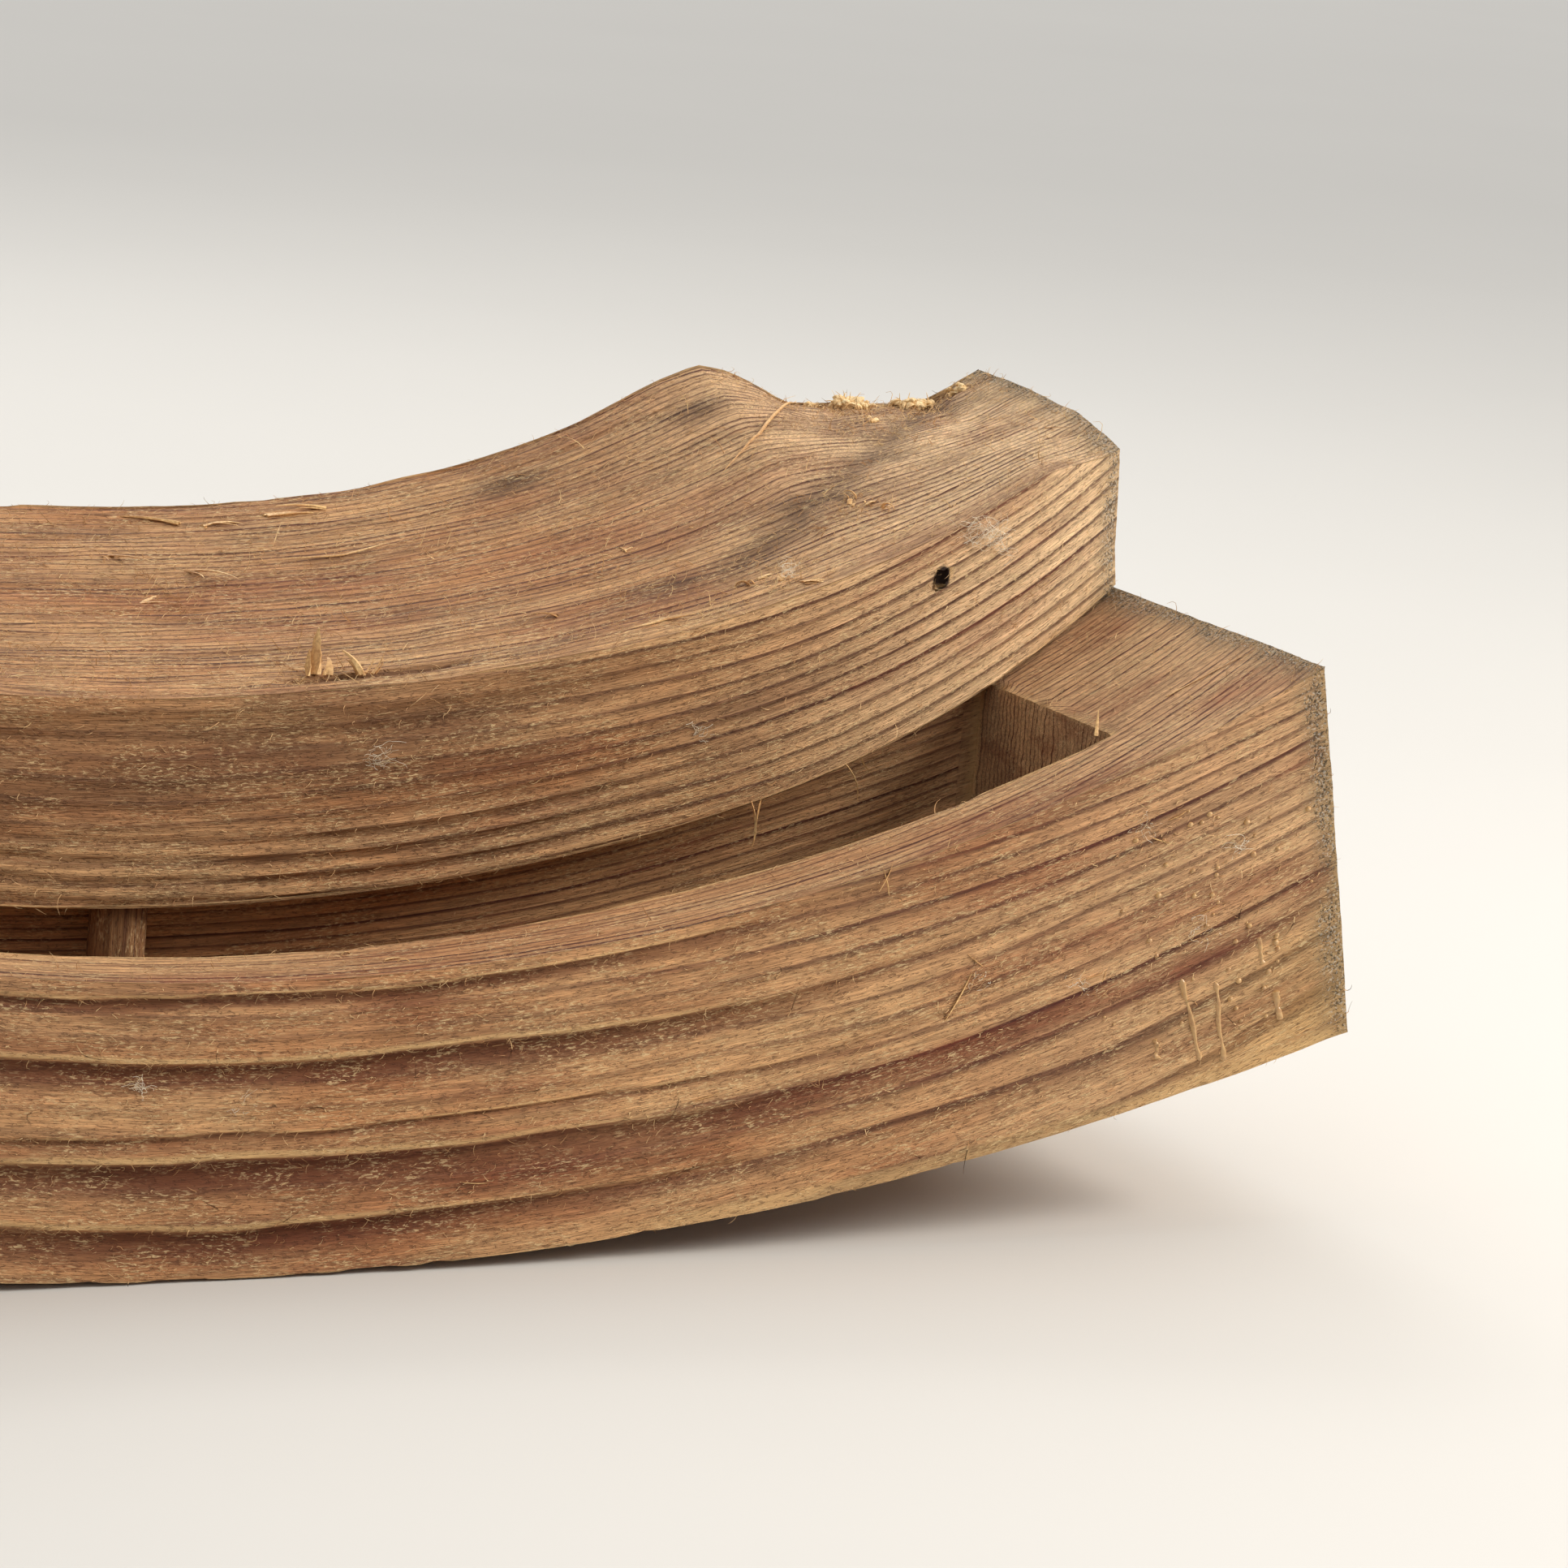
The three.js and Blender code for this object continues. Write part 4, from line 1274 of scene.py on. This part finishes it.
def fuzzTree():
    # scatters small bent fibres over a surface, most of them lying along the grain
    tree = bpy.data.node_groups.new("looseFibres", "GeometryNodeTree")
    for label, (kind, value) in fuzzInputs.items():
        socket = tree.interface.new_socket(label, in_out="INPUT", socket_type="NodeSocket" + kind)
        if value is not None:
            socket.default_value = value
    tree.interface.new_socket("Geometry", in_out="OUTPUT", socket_type="NodeSocketGeometry")
    given = tree.nodes.new("NodeGroupInput").outputs

    mask = addNode(tree, "GeometryNodeInputNamedAttribute", {"Name": "fuzz"}, data_type="FLOAT").outputs[0]
    density = times(tree, mask, given["Density"])
    inputs = {"Mesh": given["Geometry"], "Density": density, "Seed": given["Seed"]}
    scatter = addNode(tree, "GeometryNodeDistributePointsOnFaces", inputs).outputs

    # each fibre's own X axis is laid along the bent grain, then turned a little and now and then end for end
    place = addNode(tree, "ShaderNodeSeparateXYZ", {0: addNode(tree, "GeometryNodeInputPosition").outputs[0]})
    along = vectorOf(tree, 1.0, 0.0, calc(tree, "DIVIDE", place.outputs[0], given["Sweep Radius"]))
    inputs = {"Rotation": scatter["Rotation"], "Vector": along}
    turned = addNode(tree, "FunctionNodeAlignRotationToVector", inputs, axis="X", pivot_axis="Z").outputs[0]
    low = vectorOf(tree, -0.4, times(tree, given["Lift"], -1.0), times(tree, given["Spread"], -1.0))
    high = vectorOf(tree, 0.4, 0.15, given["Spread"])
    inputs = {0: low, 1: high, "Seed": given["Seed"]}
    tilt = addNode(tree, "FunctionNodeRandomValue", inputs, data_type="FLOAT_VECTOR").outputs[0]
    flip = addNode(tree, "FunctionNodeRandomValue", {4: 0, 5: 1, "Seed": 3}, data_type="INT").outputs[2]
    for turn in (vectorOf(tree, z=times(tree, flip, math.pi)), tilt):
        inputs = {0: turned, 1: turn}
        turned = addNode(tree, "FunctionNodeRotateRotation", inputs, rotation_space="LOCAL").outputs[0]

    inputs = {"Resolution": 3, "Radius": given["Thickness"]}
    profile = addNode(tree, "GeometryNodeCurvePrimitiveCircle", inputs)
    taper = timesPlus(tree, addNode(tree, "GeometryNodeSplineParameter").outputs[0], -0.75, 1.0)
    variants = addNode(tree, "GeometryNodeGeometryToInstance")
    for start, middle, end in fibreBends:
        inputs = {"Resolution": given["Segments"], "Start": start, "Middle": middle, "End": end}
        curve = addNode(tree, "GeometryNodeCurveQuadraticBezier", inputs)
        sized = addNode(tree, "GeometryNodeSetCurveRadius", {"Curve": curve.outputs[0], "Radius": taper})
        inputs = {"Curve": sized.outputs[0], "Profile Curve": profile.outputs[0], "Fill Caps": True}
        strand = addNode(tree, "GeometryNodeCurveToMesh", inputs)
        if "Scale" in strand.inputs:
            tree.links.new(taper, strand.inputs["Scale"])
        tree.links.new(strand.outputs[0], variants.inputs[0])
    inputs = {2: 0.45, 3: 1.5, "Seed": 8}
    scale = addNode(tree, "FunctionNodeRandomValue", inputs, data_type="FLOAT").outputs[1]
    inputs = {
        "Points": scatter["Points"], "Instance": variants.outputs[0], "Pick Instance": True,
        "Rotation": turned, "Scale": times(tree, scale, given["Length"]),
    }
    copies = addNode(tree, "GeometryNodeInstanceOnPoints", inputs)
    real = addNode(tree, "GeometryNodeRealizeInstances", {0: copies.outputs[0]})
    inputs = {"Geometry": real.outputs[0], "Material": given["Material"]}
    painted = addNode(tree, "GeometryNodeSetMaterial", inputs)
    end = tree.nodes.new("NodeGroupOutput")
    tree.links.new(painted.outputs[0], end.inputs[0])
    return tree


fuzzPieces = {
    # piece: the beam it grows on, fibres per square metre at full strength, length in metres, thickness as a
    # part of the length, spread and lift in radians, seed and segments
    "seatFuzzShort": ("seat", 92000, 0.0024, 0.032, 0.7, 0.5, 4, 3),
    "seatFuzzFlat": ("seat", 94000, 0.0013, 0.055, 0.35, 0.12, 31, 3),
    "beamFuzzFlat": ("beam", 84000, 0.0013, 0.055, 0.4, 0.12, 37, 3),
    "seatFuzzLong": ("seat", 5200, 0.0056, 0.02, 1.2, 0.6, 9, 4),
    "beamFuzzShort": ("beam", 80000, 0.0022, 0.034, 0.9, 0.5, 14, 3),
    "beamFuzzLong": ("beam", 4200, 0.0056, 0.02, 1.4, 0.7, 19, 4),
}
fuzzKeys = ("Density", "Length", "Thickness", "Spread", "Lift", "Seed", "Segments")


def growFuzz(name, surface, tree, values, material):
    carrier = addObject("fuzzCarrier", surface.data.copy())
    change = carrier.modifiers.new("fuzz", "NODES")
    change.node_group = tree
    for item in tree.interface.items_tree:
        if item.name in values:
            change[item.identifier] = values[item.name]
        if item.name == "Material":
            change[item.identifier] = material
    result = evaluatedMesh(carrier)
    result.name = name
    carrier.modifiers.remove(change)
    dropObject(carrier)
    return keepInBox(result)


def strandMaterial(name, look):
    material, tree, shader = newMaterial(name)
    place = objectPlace(tree)
    patch = rangeOf(tree, noiseOf(tree, place, look["patchScale"], 2.0), 0.35, 0.65)
    fleck = rangeOf(tree, noiseOf(tree, place, look["fleckScale"], 1.0), 0.3, 0.7)
    colour = mixColour(tree, patch, look["pale"], look["deep"])
    colour = mixColour(tree, times(tree, fleck, 0.5), colour, look["fleck"])
    tree.links.new(colour, shader.inputs["Base Color"])
    rough = rangeOf(tree, fleck, 0.0, 1.0, look["rough"] - 0.1, look["rough"])
    tree.links.new(rough, shader.inputs["Roughness"])
    shader.inputs["Specular IOR Level"].default_value = look["shine"]
    if "coat" in look:
        shader.inputs["Coat Weight"].default_value = look["coat"]
        shader.inputs["Coat Roughness"].default_value = look["coatRough"]
    tree.links.new(bumpOf(tree, fleck, 0.3, 0.0002), shader.inputs["Normal"])
    return material


strandLooks = {
    "fibreStraw": {"pale": rgb(238, 206, 152), "deep": rgb(196, 148, 98), "fleck": rgb(168, 118, 76),
                   "patchScale": 120.0, "fleckScale": 900.0, "rough": 0.75, "shine": 0.35},
    "tuftStraw": {"pale": rgb(244, 218, 168), "deep": rgb(222, 186, 130), "fleck": rgb(188, 144, 96),
                  "patchScale": 300.0, "fleckScale": 1500.0, "rough": 0.75, "shine": 0.3},
    "sliverWood": {"pale": rgb(242, 204, 142), "deep": rgb(214, 166, 108), "fleck": rgb(166, 114, 72),
                   "patchScale": 90.0, "fleckScale": 1400.0, "rough": 0.65, "shine": 0.4},
    "driedResin": {"pale": rgb(198, 154, 98), "deep": rgb(174, 128, 80), "fleck": rgb(210, 172, 118),
                   "patchScale": 260.0, "fleckScale": 1100.0, "rough": 0.42, "shine": 0.5,
                   "coat": 0.5, "coatRough": 0.12},
    "paleLint": {"pale": rgb(236, 222, 198), "deep": rgb(216, 196, 164), "fleck": rgb(244, 236, 220),
                 "patchScale": 200.0, "fleckScale": 900.0, "rough": 0.8, "shine": 0.25},
}

pegLook = dict(
    beamLook, early=rgb(176, 132, 88), earlyWarm=rgb(158, 112, 72), earlyDeep=rgb(138, 96, 62),
    late=rgb(96, 58, 38), redZone=0.1, resinZone=0.0, edgeWearAndHighlightTint=0.3, fibreLength=45.0, bump=0.5,
)
hardwoodLook = dict(
    pegLook, early=rgb(158, 118, 78), earlyWarm=rgb(140, 100, 64), earlyDeep=rgb(122, 86, 56),
    late=rgb(88, 58, 38), endGrain=rgb(104, 74, 50), fibreWidth=2200.0,
)
wedgeLook = dict(
    hardwoodLook, early=rgb(126, 90, 58), earlyWarm=rgb(112, 78, 50), earlyDeep=rgb(96, 66, 44),
    late=rgb(66, 42, 28), endGrain=rgb(84, 58, 38),
)

print("pegs, treenails and wedges")
peg = addObject("centrePegRod", centrePegMesh())
finishPiece(peg, softwoodMaterial("pegWood", pegLook), "peg_wood", "centre_peg")
treenailWood = softwoodMaterial("treenailOak", hardwoodLook)
wedgeWood = softwoodMaterial("wedgeOak", wedgeLook)
placeNames = {-235: "left_outer", -110: "left_inner", 110: "right_inner", 235: "right_outer"}
for number, x in enumerate(pegs["at"]):
    label = placeNames[x]
    nail = addObject(f"treenailRod_{label}", treenailMesh(x, 90 + number))
    finishPiece(nail, treenailWood, "treenail_hardwood", f"treenail_{label}")
    tight = wedgeMesh(x, 0, pegs["wedgeHalfWidth"])
    storePegGrain(tight, x, pegs["treenailY"], 1.3, 100 + number)
    key = addObject(f"wedgeKey_{label}", tight)
    finishPiece(key, wedgeWood, "wedge_hardwood", f"wedge_{label}")

print("loose fibres")
strandWoods = {name: strandMaterial(name, look) for name, look in strandLooks.items()}
fibreTree = fuzzTree()
surfaces = {"seat": seat, "beam": beam}
straw = strandWoods["fibreStraw"]
for name, (surface, *values) in fuzzPieces.items():
    mesh = growFuzz(name, surfaces[surface], fibreTree, dict(zip(fuzzKeys, values)), straw)
    finishPiece(addObject(name, mesh), straw, f"{surface}_softwood")
    print(name, len(mesh.polygons), "faces")

print("slivers, resin and lint")
finishPiece(addObject("woodSlivers", keepInBox(sliverMesh())), strandWoods["sliverWood"], "seat_softwood")
finishPiece(addObject("notchTufts", keepInBox(tuftMesh())), strandWoods["tuftStraw"], "seat_softwood")
finishPiece(addObject("resinRuns", keepInBox(resinMesh())), strandWoods["driedResin"], "beam_softwood")
finishPiece(addObject("lintTangles", keepInBox(lintMesh())), strandWoods["paleLint"], "seat_softwood")


# floor, light and camera

studio = {
    "floorColour": rgb(214, 211, 206), "floorSize": 30000,
    "roomColour": rgb(238, 238, 236), "worldStrength": 0.45,
    # lamps: place and aim in metres, size, power and tint
    "lamps": {
        "keyLight": ((1.35, -0.75, 1.05), (0.1, 0, 0.08), (0.7, 0.7), 28, (1, 0.95, 0.88)),
        "fillLight": ((-1.5, -1.7, 1.2), (0, 0, 0.08), (1.4, 1.2), 5, (0.93, 0.96, 1)),
        "ceilingLight": ((3, 9, 7), (3, 9, 0), (20, 20), 950, (1, 1, 1)),
        "rimLight": ((0.3, 1.5, 1.3), (0, 0, 0.1), (1.2, 0.8), 9, (1, 0.98, 0.95)),
    },
}
viewCamera = {
    # metres, then degrees to the right, down and rolled, and the lens in millimetres
    "place": (-0.5934, -1.4680, 0.4278), "turn": 28, "tilt": 11.174, "roll": 5.17, "lens": 149.07,
}


def areaLight(name, place, aim, size, power, tint):
    data = bpy.data.lights.new(name, "AREA")
    data.shape = "RECTANGLE"
    data.size, data.size_y = size
    data.energy = power
    data.color = tint
    lamp = addObject(name, data)
    lamp.location = place
    lamp.rotation_euler = (Vector(aim) - Vector(place)).to_track_quat("-Z", "Y").to_euler()


def buildStudio():
    half = studio["floorSize"] / 2
    corners = [(-half, -half, 0), (half, -half, 0), (half, half, 0), (-half, half, 0)]
    floor = addObject("studioFloor", meshFrom("studioFloor", corners, [(0, 1, 2, 3)]))
    material, tree, shader = newMaterial("floorPaint")
    base = studio["floorColour"]
    darker = tuple(c * 0.96 for c in base[:3]) + (1.0,)
    cloud = noiseOf(tree, objectPlace(tree), 3.0, 3.0)
    tree.links.new(mixColour(tree, cloud, base, darker), shader.inputs["Base Color"])
    shader.inputs["Roughness"].default_value = 0.9
    floor.data.materials.append(material)
    world = bpy.data.worlds.new("paleRoom")
    world.use_nodes = True
    background = world.node_tree.nodes["Background"]
    background.inputs["Color"].default_value = studio["roomColour"]
    background.inputs["Strength"].default_value = studio["worldStrength"]
    bpy.context.scene.world = world
    for name, lamp in studio["lamps"].items():
        areaLight(name, *lamp)


def buildCamera():
    turn, tilt, roll = (math.radians(viewCamera[key]) for key in ("turn", "tilt", "roll"))
    forward = Vector((math.sin(turn) * math.cos(tilt), math.cos(turn) * math.cos(tilt), -math.sin(tilt)))
    right = Vector((math.cos(turn), -math.sin(turn), 0))
    up = right.cross(forward)
    rolledRight = right * math.cos(roll) + up * math.sin(roll)
    rolledUp = up * math.cos(roll) - right * math.sin(roll)
    data = bpy.data.cameras.new("viewCamera")
    data.lens = viewCamera["lens"]
    data.sensor_width = 36
    camera = addObject("viewCamera", data)
    axes = Matrix((rolledRight, rolledUp, -forward)).transposed()
    camera.matrix_world = Matrix.Translation(viewCamera["place"]) @ axes.to_4x4()
    bpy.context.scene.camera = camera


print("studio")
buildStudio()
buildCamera()
bpy.context.scene.view_settings.view_transform = "Standard"
